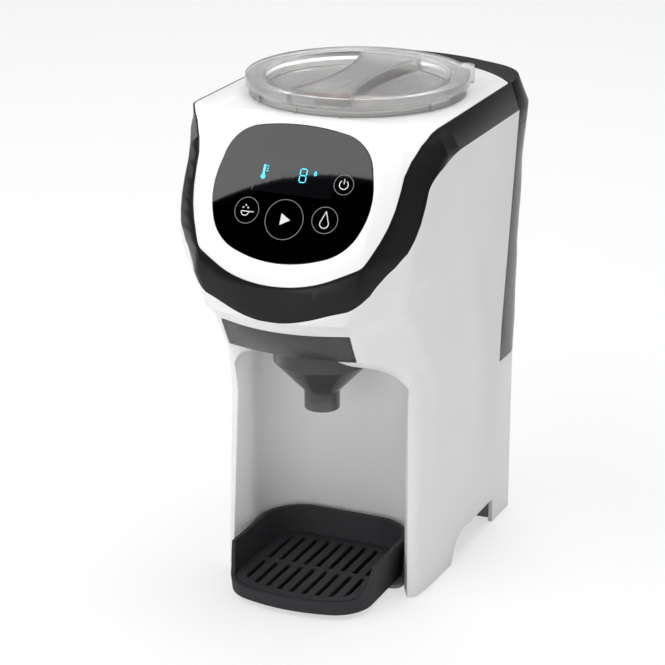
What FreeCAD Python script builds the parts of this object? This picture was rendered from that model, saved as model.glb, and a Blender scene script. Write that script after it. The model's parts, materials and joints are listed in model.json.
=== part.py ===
"""Baby formula maker: a counter-top machine that heats water and doses powder.

Frame: +X right, -Y front, +Z up, millimetres.  The origin is on the table,
under the middle of the machine.  The powder axis is the vertical line through
the lid, the powder container, the portion wheel and the drive hub.
"""
import FreeCAD, Part
import math
import os
import re

# Every size has its name here.  A number can be set by itself, and a text is a
# formula of the sizes above it.
SIZES = {
    # casing: the deck, the sloping face and the walls
    "deck_height": 289.0,
    "axis_back": 3.0,
    "fold_front": -71.0,
    "face_angle": 61.0,
    "face_round": 325.0,
    "casing_wall": 2.6,
    "table_gap": 1.0,
    "fold_round": 5.0,
    "trim_drop": 16.0,
    "trim_depth": 8.5,
    "trim_fold": 35.0,
    "trim_lip": 1.0,
    "trim_width": 6.0,
    "cover_thick": 3.0,
    "cover_gap": 0.2,
    "deck_rear_radius": 90.0,
    "deck_turn_back": 17.5,
    "seam": 0.3,
    "slide_gap": 0.4,
    "run_gap": 0.35,
    # casing sections: half widths at the table, under the trim and on the deck
    "foot_half": 64.0,
    "crown_half": 80.0,
    "deck_half": 74.5,
    # bottle bay and feet
    "bay_half": 49.0,
    "bay_back": -3.0,
    "bay_round": 28.0,
    "bay_mouth": -39.0,
    "bay_flare": 9.0,
    "roof_bend": -50.0,
    "roof_slope": 18.5,
    "roof_round": 20.0,
    "arch_front": -1.0,
    "arch_back": 71.0,
    "arch_height": 18.0,
    "arch_round": 14.0,
    "foot_pad": 4.0,
    "rear_notch_half": 34.0,
    # panel on the face, measured down the face from its fold
    "panel_top": 2.5,
    "panel_bottom": 83.0,
    "panel_half": 49.5,
    "lens_thick": 2.0,
    "lens_gap": 0.15,
    "panel_ledge": 3.0,
    "film_thick": 0.5,
    "display_wide": 52.0,
    "display_tall": 22.0,
    "display_down": 30.0,
    "board_wide": 102.0,
    "board_tall": 48.0,
    "board_down": 38.0,
    "board_thick": 1.6,
    "boss_radius": 2.6,
    "board_depth": 9.0,
    # powder container, lid and what turns in it
    "lid_radius": 65.0,
    "lid_rise": 11.0,
    "lid_top": "deck_height + lid_rise",
    "lid_rim_height": 5.6,
    "lid_well_depth": 8.0,
    "lid_wall": 2.2,
    "plug_radius": 55.4,
    "lid_well_radius": "plug_radius - lid_wall",
    "plug_depth": 9.0,
    "seal_thick": 1.0,
    "ear_reach": 6.0,
    "ear_wide": 11.0,
    "ear_angle": 40.0,
    "grip_waist": 11.0,
    "scoop_round": 151.0,
    "collar_radius": 63.2,
    "collar_height": 4.8,
    "lug_radius": 1.5,
    "hopper_radius": 58.5,
    "hopper_wall": 1.6,
    "hopper_floor": 2.5,
    "deck_opening": 59.2,
    "hopper_depth": 84.0,
    "seat_height": "deck_height - hopper_depth",
    "seat_thick": 3.0,
    "outlet_front": -41.0,
    "outlet_radius": 8.0,
    "wheel_radius": 56.0,
    "wheel_height": 9.0,
    "wheel_hub_radius": 15.0,
    "wheel_pockets": 8.0,
    "pocket_radius": 7.5,
    "scraper_thick": 1.5,
    "stirrer_height": "hopper_depth - 38",
    "stirrer_reach": 50.0,
    "stirrer_blade": 4.0,
    "blade_turn": 25.0,
    "stirrer_post": 7.0,
    # powder drive
    "hub_radius": 7.0,
    "hex_across": 9.0,
    "hex_height": 7.0,
    "gear_module": 1.5,
    "gear_teeth": 42.0,
    "pinion_teeth": 12.0,
    "gear_height": 7.0,
    "mesh_gap": 0.5,
    "gear_gap": 4.0,
    "gear_plate": 3.0,
    "motor_radius": 17.0,
    "motor_height": 38.0,
    "motor_shaft": 2.5,
    "drive_post": 3.6,
    "chute_radius": 10.0,
    "chute_wall": 1.4,
    # funnel and its guide
    "band_half": 39.3,
    "chute_length": 26.6,
    "guide_top": "seat_height - chute_length",
    "band_drop": 2.4,
    "band_top": "guide_top - band_drop",
    "band_height": 17.7,
    "band_bottom": "band_top - band_height",
    "band_thick": 2.4,
    "band_back": -65.0,
    "tongue_thick": 2.6,
    "tongue_half": 38.4,
    "tongue_back": -14.0,
    "funnel_front": -47.6,
    "cup_radius": 28.5,
    "cup_depth": 17.3,
    "cup_bottom": "band_bottom - cup_depth",
    "cup_wall": 1.8,
    "spout_radius": 10.4,
    "cone_height": 19.0,
    "spout_top": "cup_bottom - cone_height",
    "spout_length": 11.0,
    "spout_bottom": "spout_top - spout_length",
    "guide_wall": 2.6,
    "bay_roof": "cup_bottom",
    "nozzle_front": -65.0,
    "nozzle_radius": 4.0,
    # drip tray
    "tray_half": 46.5,
    "tray_front": -106.5,
    "tray_back": -7.5,
    "tray_height": 28.0,
    "tray_lip": 11.0,
    "tray_wall": 2.4,
    "tray_draft": 2.5,
    "tray_round": 26.0,
    "tray_bow": 100.0,
    "dip_back": -73.0,
    "grate_height": 8.6,
    "grate_thick": 2.6,
    "grate_slots": 9.0,
    "slot_wide": 3.0,
    "slot_pitch": 8.0,
    "bay_floor_thick": 2.0,
    # base
    "base_thick": 2.5,
    "pad_radius": 3.8,
    "rear_pad_radius": 7.0,
    "pad_recess": 2.0,
    "screw_radius": 1.5,
    "screw_head": 2.8,
    "screw_length": 14.0,
    "screw_post": 5.2,
    "post_inset": 4.7,
    "post_across": "foot_half + (crown_half - foot_half) * (arch_height + base_thick)"
                   " / (deck_height - trim_drop) - casing_wall - post_inset",
    "post_front": 4.0,
    "post_rear": 80.0,
    "pad_front": -18.0,
    "pad_rear": 92.0,
    "pad_across": 55.9,
    "rear_pad_across": 49.0,
    # water tank
    "tank_floor": 113.0,
    "tank_lid_height": 25.0,
    "tank_top": "deck_height - tank_lid_height",
    "tank_side": 57.5,
    "tank_radius": 90.3,
    "tank_wall": 2.2,
    "tank_lid_wall": 2.6,
    "hinge_radius": 3.0,
    "hinge_pin": 1.2,
    "hinge_back": 115.4,
    "hinge_reach": 6.5,
    "hinge_half": 18.0,
    "knuckle_half": 8.0,
    "valve_back": 103.0,
    "valve_stem": 2.0,
    "valve_head": 4.6,
    "valve_thick": 1.6,
    "seal_height": 1.2,
    "seal_gap": 0.05,
    "valve_height": 15.0,
    "spring_radius": 3.4,
    "spring_wire": 0.6,
    "cage_radius": 6.0,
    "dock_radius": 6.2,
    "dock_depth": 12.0,
    "float_across": 40.0,
    "float_radius": 6.0,
    "float_height": 9.0,
    "float_stem": 1.8,
    "float_travel": 18.0,
    # water path and electrics
    "pump_radius": 13.0,
    "pump_height": 46.0,
    "pump_across": -36.0,
    "pump_back": 39.0,
    "heater_radius": 15.0,
    "heater_height": 66.0,
    "heater_across": 34.0,
    "heater_back": 39.0,
    "tube_radius": 3.0,
    "tube_bore": 1.8,
    "power_board_wide": 84.0,
    "power_board_tall": 58.0,
    "power_board_back": 12.0,
    "gland_radius": 6.0,
    "switch_across": 24.0,
    "plunger_radius": 1.5,
    "plunger_travel": 1.5,
}

# Casing sections from the table up.  Each has its drop below the deck, the front
# point, the front corner, the neck behind it, the start of the straight side, the
# rear corner and the rear point; the corners also have a radius.
COLUMNS = ("drop", "nose", "corner_across", "corner_front", "corner_round", "neck_across",
           "neck_front", "neck_round", "side_front", "rear_back", "rear_round", "tail")
SECTIONS = {
    "waist": (179.0, -49.5, 58.5, -48.5, 9.0, 66.0, -32.0, 14.0, -5.0, 98.0, 27.0, 119.0),
    "hip": (156.0, -52.5, 58.5, -51.0, 9.0, 66.5, -35.0, 14.0, -7.0, 97.0, 28.5, 119.5),
    "throat": (142.0, -76.0, 53.0, -62.5, 14.0, 66.0, -44.0, 18.0, -12.0, 95.7, 30.5, 120.0),
    "jaw": (131.0, -99.5, 42.0, -88.0, 12.0, 64.5, -52.0, 25.0, -17.0, 94.3, 31.5, 120.0),
    "chin": (112.0, -114.0, 43.0, -97.5, 14.0, 64.5, -66.0, 20.0, -23.0, 93.0, 33.0, 121.0),
    "lip": (103.0, -123.2, 43.0, -109.5, 16.0, 63.5, -78.0, 20.0, -29.0, 91.0, 35.0, 122.0),
    "mouth": (85.0, -122.6, 50.5, -108.0, 12.0, 69.0, -82.0, 16.0, -34.0, 90.8, 35.5, 122.0),
    "cheek": (71.0, -124.0, 50.5, -106.0, 10.0, 71.6, -86.0, 12.0, -38.0, 90.8, 35.5, 122.0),
    "brow": (49.0, -128.0, 52.0, -100.0, 12.0, 74.0, -79.0, 12.0, -42.0, 88.6, 38.5, 122.5),
    "temple": (31.0, -129.0, 52.0, -94.5, 12.0, 75.0, -67.5, 12.0, -44.0, 92.8, 40.0, 123.0),
    "crown": ("trim_drop", -129.0, 54.0, -87.0, 12.0, 79.0, -56.0, 10.0, -42.0, 94.6, 40.0, 123.0),
    "rim": ("trim_drop / 2", -129.0, 56.0, -86.0, 12.0, 76.5, -57.0, 9.0, -43.0, 92.0, 40.0, 121.5),
    "deck": (0.0, -129.0, 60.0, -88.0, 12.0, 74.4, -60.5, 7.0, -46.0, 89.0, 37.0, 118.5),
}
FOOT = (-54.0, 61.0, -53.0, 8.0, 63.0, -38.0, 12.0, -3.0, 110.5, 14.5, 116.0)
STEP = 9.5
NOSE_SHARE = 0.7
TAIL_SHARE = 0.55
SIDE_ROUND = 60.0
BIG = 400.0

doc = FreeCAD.newDocument("formula_maker")
sheet = doc.addObject("Spreadsheet::Sheet", "Sizes")
for section, numbers in SECTIONS.items():
    for column, number in zip(COLUMNS, numbers):
        SIZES[f"{section}_{column}"] = number
for column, number in zip(COLUMNS[1:], FOOT):
    SIZES[f"foot_{column}"] = number
for row, (alias, value) in enumerate(SIZES.items(), start=1):
    sheet.set(f"A{row}", alias)
    sheet.set(f"B{row}", f"={value}")
    sheet.setAlias(f"B{row}", alias)
doc.recompute()


def size(alias):
    """Return the number that the sheet holds under an alias."""
    return float(sheet.get(alias))


def bound(text):
    """Write an expression with every alias pointing at the sheet."""
    return re.sub(r"[a-z]+(?:_[a-z]+)*", lambda word: "Sizes." + word.group()
                  if word.group() in SIZES else word.group(), str(text))


def place(item, at):
    """Bind the three coordinates of an object's placement."""
    for letter, text in zip("xyz", at):
        item.setExpression(f"Placement.Base.{letter}", bound(text))
    return item


def block(name, wide, deep, tall, at):
    """Make a box whose corner is at `at`."""
    item = doc.addObject("Part::Box", name)
    for prop, text in (("Length", wide), ("Width", deep), ("Height", tall)):
        item.setExpression(prop, bound(text))
    return place(item, at)


def rod(name, radius, tall, at, turn=None):
    """Make a cylinder; `turn` lays it along X or Y instead of Z."""
    item = doc.addObject("Part::Cylinder", name)
    item.setExpression("Radius", bound(radius))
    item.setExpression("Height", bound(tall))
    if turn == "x":
        item.Placement = FreeCAD.Placement(FreeCAD.Vector(), FreeCAD.Rotation(FreeCAD.Vector(0, 1, 0), 90))
    if turn == "y":
        item.Placement = FreeCAD.Placement(FreeCAD.Vector(), FreeCAD.Rotation(FreeCAD.Vector(1, 0, 0), -90))
    return place(item, at)


def cone(name, low_radius, high_radius, tall, at):
    """Make a truncated cone that stands on `at`."""
    item = doc.addObject("Part::Cone", name)
    for prop, text in (("Radius1", low_radius), ("Radius2", high_radius), ("Height", tall)):
        item.setExpression(prop, bound(text))
    return place(item, at)


def prism(name, across_flats, tall, at, sides=6):
    """Make a regular prism of a given width across its flats."""
    item = doc.addObject("Part::Prism", name)
    item.Polygon = sides
    item.setExpression("Circumradius", bound(f"({across_flats}) / 2 / cos({180 / sides} deg)"))
    item.setExpression("Height", bound(tall))
    return place(item, at)


def fuse(name, *items):
    """Join objects into one piece."""
    joined = doc.addObject("Part::MultiFuse", name)
    joined.Shapes = list(items)
    joined.Refine = True
    return joined


def common(name, *items):
    """Keep what all the objects share."""
    kept = doc.addObject("Part::MultiCommon", name)
    kept.Shapes = list(items)
    return kept


def cut(name, base, *tools):
    """Take tools away from a base."""
    result = doc.addObject("Part::Cut", name)
    result.Base = base
    result.Tool = tools[0] if len(tools) == 1 else fuse(name + "_tools", *tools)
    return result


def solid(name, shape):
    """Hold a shape made by Part's own functions as an object."""
    item = doc.addObject("Part::Feature", name)
    item.Shape = shape
    return item


# ---------------------------------------------------------------- outlines
def grown(points, grow):
    """Move every side of a closed outline (x, y, radius) outwards."""
    result = []
    count = len(points)
    for index, (x, y, radius) in enumerate(points):
        before = FreeCAD.Vector(*points[index - 1][:2])
        after = FreeCAD.Vector(*points[(index + 1) % count][:2])
        here = FreeCAD.Vector(x, y)
        come = (here - before).normalize()
        leave = (after - here).normalize()
        out_come = FreeCAD.Vector(come.y, -come.x)
        out_leave = FreeCAD.Vector(leave.y, -leave.x)
        middle = (out_come + out_leave).normalize()
        here = here + middle * (grow / middle.dot(out_come))
        convex = come.x * leave.y - come.y * leave.x > 0
        result.append((here.x, here.y, max(radius + (grow if convex else -grow), 1.0) if radius else 0.0))
    return result


def outline(points, level=0.0):
    """Make a closed wire of straight sides and tangent arcs at one level."""
    corners = []
    count = len(points)
    for index, (x, y, radius) in enumerate(points):
        here = FreeCAD.Vector(x, y, level)
        if not radius:
            corners.append((here, None, here))
            continue
        come = (FreeCAD.Vector(*points[index - 1][:2], level) - here).normalize()
        leave = (FreeCAD.Vector(*points[(index + 1) % count][:2], level) - here).normalize()
        half = come.getAngle(leave) / 2
        reach = radius / math.tan(half)
        middle = here + (come + leave).normalize() * (radius / math.sin(half) - radius)
        corners.append((here + come * reach, middle, here + leave * reach))
    edges = []
    for index, (start, middle, end) in enumerate(corners):
        if middle is not None:
            edges.append(Part.Arc(start, middle, end).toShape())
        follower = corners[(index + 1) % count][0]
        if end.distanceToPoint(follower) > 1e-6:
            edges.append(Part.LineSegment(end, follower).toShape())
    return Part.Wire(edges)


def slab(points, low, high):
    """Extrude an outline from one level to another."""
    return Part.Face(outline(points, low)).extrude(FreeCAD.Vector(0, 0, high - low))


def mirrored(half):
    """Complete a right half outline, from its front to its rear, with the left."""
    left = [(-x, y, radius) for x, y, radius in reversed(half) if x]
    return half + left


# ---------------------------------------------------------------- casing form
def deck_level():
    """Return the level of the deck."""
    return size("deck_height")


def section_level(name):
    """Return the level of a casing section: the foot stands on the table, the rest hang from the deck."""
    if name == "foot":
        return 0.0
    return deck_level() - size(f"{name}_drop")


def side_half(level):
    """Return half the width of the casing at a level."""
    crown = section_level("crown")
    if level > crown:
        return size("crown_half") + (size("deck_half") - size("crown_half")) * (level - crown) / size("crown_drop")
    return size("foot_half") + (size("crown_half") - size("foot_half")) * level / crown


def eased(levels, values, level):
    """Follow values from level to level in a smooth line that never overshoots them."""
    rates = [(value - before) / (high - low)
             for low, high, before, value in zip(levels, levels[1:], values, values[1:])]
    turns = [0.0 if come * leave <= 0 else 2 * come * leave / (come + leave)
             for come, leave in zip(rates, rates[1:])]
    slopes = [rates[0], *turns, rates[-1]]
    index = max(place for place, low in enumerate(levels[:-1]) if low <= level)
    span = levels[index + 1] - levels[index]
    way = (level - levels[index]) / span
    back = 1.0 - way
    return (values[index] * back ** 2 * (1 + 2 * way) + values[index + 1] * way ** 2 * (1 + 2 * back)
            + span * way * back * (slopes[index] * back - slopes[index + 1] * way))


def section_outline(level):
    """Return the casing's outline points at any level."""
    names = ["foot", *SECTIONS]
    levels = [section_level(name) for name in names]
    get = {column: eased(levels, [size(f"{name}_{column}") for name in names], level) for column in COLUMNS[1:]}
    half = side_half(level)
    nose_turn = math.atan((get["corner_front"] - get["nose"]) / get["corner_across"])
    tail_turn = math.atan((get["tail"] - get["rear_back"]) / half)
    return mirrored([
        (0.0, get["nose"], NOSE_SHARE * get["corner_across"] / math.tan(nose_turn)),
        (get["corner_across"], get["corner_front"], get["corner_round"]),
        (get["neck_across"], get["neck_front"], get["neck_round"]),
        (half, get["side_front"], SIDE_ROUND),
        (half, get["rear_back"], get["rear_round"]),
        (0.0, get["tail"], TAIL_SHARE * half / math.tan(tail_turn)),
    ])


def casing_levels():
    """Return the levels of the casing's outlines, close together where its form turns."""
    levels = [section_level("foot"), section_level("waist")]
    names = list(SECTIONS)
    for before, name in zip(names, names[1:]):
        low, high = section_level(before), section_level(name)
        count = math.ceil((high - low) / STEP)
        levels += [low + (high - low) * place / count for place in range(1, count + 1)]
    return levels


def casing(inset):
    """Return the full outer form of the machine, set in from its surface."""
    wires = [outline(grown(section_outline(level), -inset), level) for level in casing_levels()]
    return Part.makeLoft(wires, True, True)


def face_normal():
    """Return the direction that the sloping face looks in."""
    slope = math.radians(size("face_angle"))
    return FreeCAD.Vector(0, -math.sin(slope), math.cos(slope))


def fold_point():
    """Return the middle of the fold between the deck and the face."""
    return FreeCAD.Vector(0, size("fold_front"), deck_level())


def under(face_depth, deck_depth, fold=0.0):
    """Return the space behind the rounded face and below the deck, with the fold between them rounded."""
    slope = math.radians(size("face_angle"))
    down = FreeCAD.Vector(0, -math.cos(slope), -math.sin(slope))
    centre = fold_point() - face_normal() * size("face_round")
    drum = Part.makeCylinder(size("face_round") - face_depth, 2 * BIG, centre - down * BIG, down)
    drum.rotate(centre, down, 180.0)
    top = deck_level() - deck_depth
    below = Part.makeBox(BIG / 2, BIG, top + BIG / 4, FreeCAD.Vector(-BIG / 4, -BIG / 2, -BIG / 4))
    space = drum.common(below)
    if not fold:
        return space
    edges = [edge for edge in space.Edges
             if abs(edge.BoundBox.ZMin - top) < 0.01 and edge.BoundBox.XLength > BIG / 4
             and edge.BoundBox.YMin < size("fold_front") + size("face_round") / 8]
    return space.makeFillet(fold, edges)


def face_tool(points, near, far):
    """Extrude an outline of the face (across, down) between two depths."""
    turn = FreeCAD.Rotation(FreeCAD.Vector(1, 0, 0), size("face_angle"))
    flat = [(x, -y, radius) for x, y, radius in reversed(points)]
    tool = slab(flat, -far, -near)
    tool.Placement = FreeCAD.Placement(fold_point(), turn)
    return tool


def bay(grow):
    """Return the space of the bottle bay, larger all round by `grow`."""
    half = size("bay_half")
    front = -BIG / 2
    flare = size("bay_flare")
    plan = mirrored([
        (half + flare, front, 0.0),
        (half + flare, size("bay_mouth") - 1.7 * flare, 2.0),
        (half, size("bay_mouth"), 1.5 * flare),
        (half, size("bay_back"), size("bay_round")),
    ])
    roof = size("bay_roof") + grow
    wide = half + flare + grow
    bend = size("roof_bend")
    rise = math.tan(math.radians(size("roof_slope")))
    arch_points = [(-wide, -BIG, 0.0), (-wide, roof, size("roof_round") + grow),
                   (wide, roof, size("roof_round") + grow), (wide, -BIG, 0.0)]
    mouth = Part.Face(outline(arch_points))
    mouth.Placement = FreeCAD.Placement(FreeCAD.Vector(0, bend, 0), FreeCAD.Rotation(FreeCAD.Vector(1, 0, 0), 90))
    hall = mouth.extrude(FreeCAD.Vector(0, size("bay_back") + grow - bend, 0))
    porch = mouth.extrude(FreeCAD.Vector(0, front, -front * rise))
    return slab(grown(plan, grow), -grow - 5, BIG).common(hall.fuse(porch))


def tank_zone(grow):
    """Return the space of the water tank behind the powder axis."""
    floor = size("tank_floor") - grow
    side = size("tank_side") - grow
    room = Part.makeBox(BIG, BIG, BIG, FreeCAD.Vector(-BIG / 2, side, floor))
    drum = Part.makeCylinder(size("tank_radius") - grow, 2 * BIG, FreeCAD.Vector(0, size("axis_back"), -BIG))
    return room.cut(drum)


def layer(low, high):
    """Return everything between two levels."""
    return Part.makeBox(BIG, BIG, high - low, FreeCAD.Vector(-BIG / 2, -BIG / 2, low))


wall = size("casing_wall")
gap = size("seam")
form = casing(0.0)
core = casing(wall)
under_trim = under(size("trim_depth"), size("trim_drop"), size("trim_fold"))
under_skin = under(0.0, 0.0, size("fold_round"))
under_cover = under(size("cover_thick"), size("cover_thick"), size("fold_round") - size("cover_thick"))

# ---------------------------------------------------------------- housing
bay_space = solid("bay_space", bay(0.0))
bay_lined = solid("bay_lined", bay(wall))
tank_space = solid("tank_space", tank_zone(0.0))
housing_form = solid("housing_form", form.common(under_trim).cut(layer(-BIG / 2, size("table_gap"))))
housing_core = solid("housing_core", core.cut(bay(wall)).cut(tank_zone(wall)))

arch_plan = [(size("arch_front"), -5.0, 0.0), (size("arch_front") + 6.0, size("arch_height"), size("arch_round")),
             (size("arch_back") - 3.0, size("arch_height"), 3.0), (size("arch_back"), -5.0, 0.0)]
arch = Part.Face(outline(list(reversed(arch_plan)))).extrude(FreeCAD.Vector(0, 0, BIG))
arch.Placement = FreeCAD.Placement(FreeCAD.Vector(-BIG / 2, 0, 0),
                                   FreeCAD.Rotation(FreeCAD.Vector(1, 1, 1), 120))
arch_cut = solid("arch_cut", arch)
notch_cut = block("notch_cut", "2 * rear_notch_half", "arch_height * 4", "arch_height + 5",
                  ("-rear_notch_half", "arch_back", "-5"))
band_slot = block("band_slot", "2 * (band_half + slide_gap)", 100, "band_top - band_bottom + 2 * slide_gap",
                  ("-band_half - slide_gap", "band_back - 100", "band_bottom - slide_gap"))
roof_slot_run = block("roof_slot_run", "2 * (cup_radius + 2 * slide_gap)", 100, "band_bottom - cup_bottom + 8",
                      ("-cup_radius - 2 * slide_gap", "funnel_front - 100", "cup_bottom - 8"))
roof_slot_end = rod("roof_slot_end", "cup_radius + 2 * slide_gap", "band_bottom - cup_bottom + 8",
                    (0, "funnel_front", "cup_bottom - 8"))
dock_hole = rod("dock_hole", "dock_radius + seam / 2", 20, (0, "valve_back", "tank_floor - 10"))
shell = cut("housing_shell", housing_form, bay_space, tank_space, housing_core, arch_cut, notch_cut,
            band_slot, roof_slot_run, roof_slot_end, dock_hole)
post_spots = ((-1, "post_across", "post_front"), (1, "post_across", "post_front"),
              (-1, "post_across", "post_rear"), (1, "post_across", "post_rear"))
posts = []
pilots = []
for index, (side, across, back) in enumerate(post_spots):
    at = (f"{side} * ({across})", back, "arch_height + base_thick + seam")
    posts.append(rod(f"post_{index}", "screw_post", "screw_length + 12", at))
    pilots.append(rod(f"pilot_{index}", "screw_radius", "screw_length + 16", at))
housing = cut("housing", fuse("housing_posts", shell, *posts), *pilots)

# ---------------------------------------------------------------- head: cover and trim
seat_depth = size("cover_thick") + size("cover_gap")
cover_seat = casing(size("trim_lip") - size("cover_gap"))
cover_seat = cover_seat.cut(under(seat_depth, seat_depth, size("fold_round") - seat_depth))
trim_shape = form.common(under_skin).cut(under_trim).cut(casing(size("trim_width"))).cut(cover_seat)
trim_end = Part.makeBox(BIG, BIG, BIG, FreeCAD.Vector(-BIG / 2, size("tank_side") - gap, 0))
trim_shape = trim_shape.cut(trim_end).cut(tank_zone(0.0))
trim_band = solid("trim_band", trim_shape)

panel_points = mirrored([
    (0.0, size("panel_bottom") + 2.7, 71.0),
    (size("panel_half") - 9.9, size("panel_bottom") - 11.0, 30.0),
    (size("panel_half") + 0.5, size("panel_top") + 41.0, 47.0),
    (size("panel_half") - 8.2, size("panel_top") + 5.0, 23.0),
    (0.0, size("panel_top") - 2.2, 145.0),
])
panel_points = [(x, y, radius) for x, y, radius in reversed(panel_points)]
ledge = size("panel_ledge")
skin = casing(size("trim_lip")).common(under_skin)
skin = skin.cut(under_cover)
deck_disc = Part.makeCylinder(size("deck_rear_radius"), BIG, FreeCAD.Vector(0, size("axis_back"), 0))
deck_front = Part.makeBox(BIG, BIG, BIG, FreeCAD.Vector(-BIG / 2, size("deck_turn_back") - BIG, 0))
skin = skin.common(deck_disc.fuse(deck_front))
skirt_low = deck_level() - size("trim_drop") + gap
skirt = Part.makeCylinder(size("deck_rear_radius"), deck_level() - 1.0 - skirt_low,
                          FreeCAD.Vector(0, size("axis_back"), skirt_low))
skirt = skirt.cut(Part.makeCylinder(size("deck_rear_radius") - wall, BIG, FreeCAD.Vector(0, size("axis_back"), 0)))
skirt = skirt.cut(Part.makeBox(BIG, BIG, BIG, FreeCAD.Vector(-BIG / 2, size("tank_side") - BIG, 0)))
skin = skin.fuse(skirt.common(casing(size("trim_width") + gap)))
recess = face_tool(grown(panel_points, size("lens_gap")), -20.0, 20.0)
recess = recess.cut(under(size("lens_thick") + 0.1, -20.0))
window = face_tool(grown(panel_points, -ledge), -20.0, 20.0)
cover_skin = solid("cover_skin", skin.cut(recess).cut(window))
deck_hole = rod("deck_hole", "deck_opening", 20, (0, "axis_back", "deck_height - 10"))
cover_plate = cut("cover_plate", cover_skin, deck_hole)
doc.recompute()


def on_face(across, down, depth):
    """Return a point at a depth under the rounded face, `down` from the fold."""
    slope = math.radians(size("face_angle"))
    drop = FreeCAD.Vector(0, -math.cos(slope), -math.sin(slope))
    sink = size("face_round") - math.sqrt(size("face_round") ** 2 - across ** 2)
    return fold_point() + FreeCAD.Vector(across, 0, 0) + drop * down - face_normal() * (depth + sink)


boss_across = size("board_wide") / 2 - size("boss_radius")
bosses = []
for across, drop in ((-1, -1), (1, -1), (-1, 1), (1, 1)):
    down = size("board_down") + drop * (size("board_tall") / 2 - size("boss_radius"))
    start = on_face(across * boss_across, down, size("cover_thick") - 0.5)
    sink = size("face_round") - math.sqrt(size("face_round") ** 2 - boss_across ** 2)
    length = size("board_depth") - size("cover_thick") + 0.5 - sink
    bosses.append(Part.makeCylinder(size("boss_radius"), length, start, face_normal() * -1))
top_cover = fuse("top_cover", cover_plate, solid("cover_bosses", Part.makeCompound(bosses)))

lens = face_tool(panel_points, -20.0, 20.0).common(under_skin).cut(under(size("lens_thick"), -20.0))
panel_lens = solid("panel_lens", lens)
film = face_tool(grown(panel_points, -ledge - gap), -20.0, 20.0)
film = film.common(under(size("lens_thick"), -20.0)).cut(under(size("lens_thick") + size("film_thick"), -20.0))
touch_film = solid("touch_film", film)


def face_block(wide, tall, thick, down, depth):
    """Return a flat block that lies parallel to the middle of the face."""
    item = Part.makeBox(wide, tall, thick, FreeCAD.Vector(-wide / 2, -down - tall / 2, -depth - thick))
    item.Placement = FreeCAD.Placement(fold_point(), FreeCAD.Rotation(FreeCAD.Vector(1, 0, 0), size("face_angle")))
    return item


film_back = size("lens_thick") + size("film_thick")
display = face_block(size("display_wide"), size("display_tall"), size("board_depth") - film_back + 1.0,
                     size("display_down"), film_back - 1.0)
display = display.common(under(film_back + 0.1, -20.0))
display_module = solid("display_module", display)
board = face_block(size("board_wide"), size("board_tall"), size("board_thick"), size("board_down"),
                   size("board_depth"))
for chip_across, chip_down, chip_wide in ((-22.0, 40.0, 14.0), (8.0, 48.0, 10.0), (28.0, 38.0, 8.0)):
    chip = face_block(chip_wide, chip_wide, 2.4, chip_down, size("board_depth") + size("board_thick"))
    board = board.fuse(chip.translated(FreeCAD.Vector(chip_across, 0, 0)))
control_board = solid("control_board", board)

# ---------------------------------------------------------------- powder container and lid
LID_LOW = "(lid_top - lid_rim_height)"
HOPPER_LOW = "(seat_height + seat_thick + seam)"
WHEEL_LOW = "(seat_height + seat_thick + seam + hopper_floor + run_gap)"
hopper_can = rod("hopper_can", "hopper_radius", f"deck_height - {HOPPER_LOW} + 2", (0, "axis_back", HOPPER_LOW))
hopper_collar = rod("hopper_collar", "collar_radius", "collar_height", (0, "axis_back", "deck_height + seam"))
hopper_room = rod("hopper_room", "hopper_radius - hopper_wall", BIG,
                  (0, "axis_back", f"{HOPPER_LOW} + hopper_floor"))
hopper_outlet = rod("hopper_outlet", "outlet_radius", 20, (0, "outlet_front", f"{HOPPER_LOW} - 5"))
hopper_bore = rod("hopper_bore", "hub_radius + 2 * slide_gap", 20, (0, "axis_back", f"{HOPPER_LOW} - 5"))
collar_lugs = [rod(f"collar_lug_{turn}", "lug_radius", "collar_height",
                   (f"(collar_radius - lug_radius / 4) * cos({turn} deg)",
                    f"axis_back + (collar_radius - lug_radius / 4) * sin({turn} deg)", "deck_height + seam"))
               for turn in (232, 260, 285, 334)]
powder_container = cut("powder_container", fuse("hopper_body", hopper_can, hopper_collar, *collar_lugs),
                       hopper_room, hopper_outlet, hopper_bore)

scraper_disc = rod("scraper_disc", "hopper_radius - hopper_wall", "scraper_thick",
                   (0, "axis_back", f"{WHEEL_LOW} + wheel_height + run_gap"))
scraper_side = block("scraper_side", 44, 40, 30,
                     (-22, "axis_back - hopper_radius - 1", f"{WHEEL_LOW} + wheel_height - 5"))
scraper_centre = rod("scraper_centre", "wheel_hub_radius + 6", 30, (0, "axis_back", f"{WHEEL_LOW}"))
outlet_guard = cut("outlet_guard", common("scraper_sector", scraper_disc, scraper_side), scraper_centre)

lid_disc = rod("lid_disc", "lid_radius", "lid_rim_height", (0, "axis_back", LID_LOW))
lid_plug = rod("lid_plug", "plug_radius", "plug_depth", (0, "axis_back", f"{LID_LOW} - plug_depth"))
lid_hollow = rod("lid_hollow", "plug_radius - lid_wall", "plug_depth + lid_rim_height - lid_well_depth - lid_wall",
                 (0, "axis_back", f"{LID_LOW} - plug_depth"))
seal_groove = cut("seal_groove", rod("groove_out", "plug_radius + 5", "seal_thick * 2.4",
                                     (0, "axis_back", f"{LID_LOW} - plug_depth + 3")),
                  rod("groove_in", "plug_radius - seal_thick", "seal_thick * 2.4",
                      (0, "axis_back", f"{LID_LOW} - plug_depth + 3")))
scoops = []
for side, word in ((-1, "left"), (1, "right")):
    scoop_room = rod(f"scoop_room_{word}", "lid_well_radius", BIG, (0, "axis_back", "lid_top - lid_well_depth"))
    scoop_edge = rod(f"scoop_edge_{word}", "scoop_round", 2 * BIG,
                     (f"{side} * (grip_waist + scoop_round)", "axis_back", -BIG / 2))
    scoops.append(common(f"scoop_{word}", scoop_room, scoop_edge))
grip_room = rod("grip_room", "lid_well_radius - lid_wall", "lid_well_depth",
                (0, "axis_back", "lid_top - lid_well_depth - lid_wall"))
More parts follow.
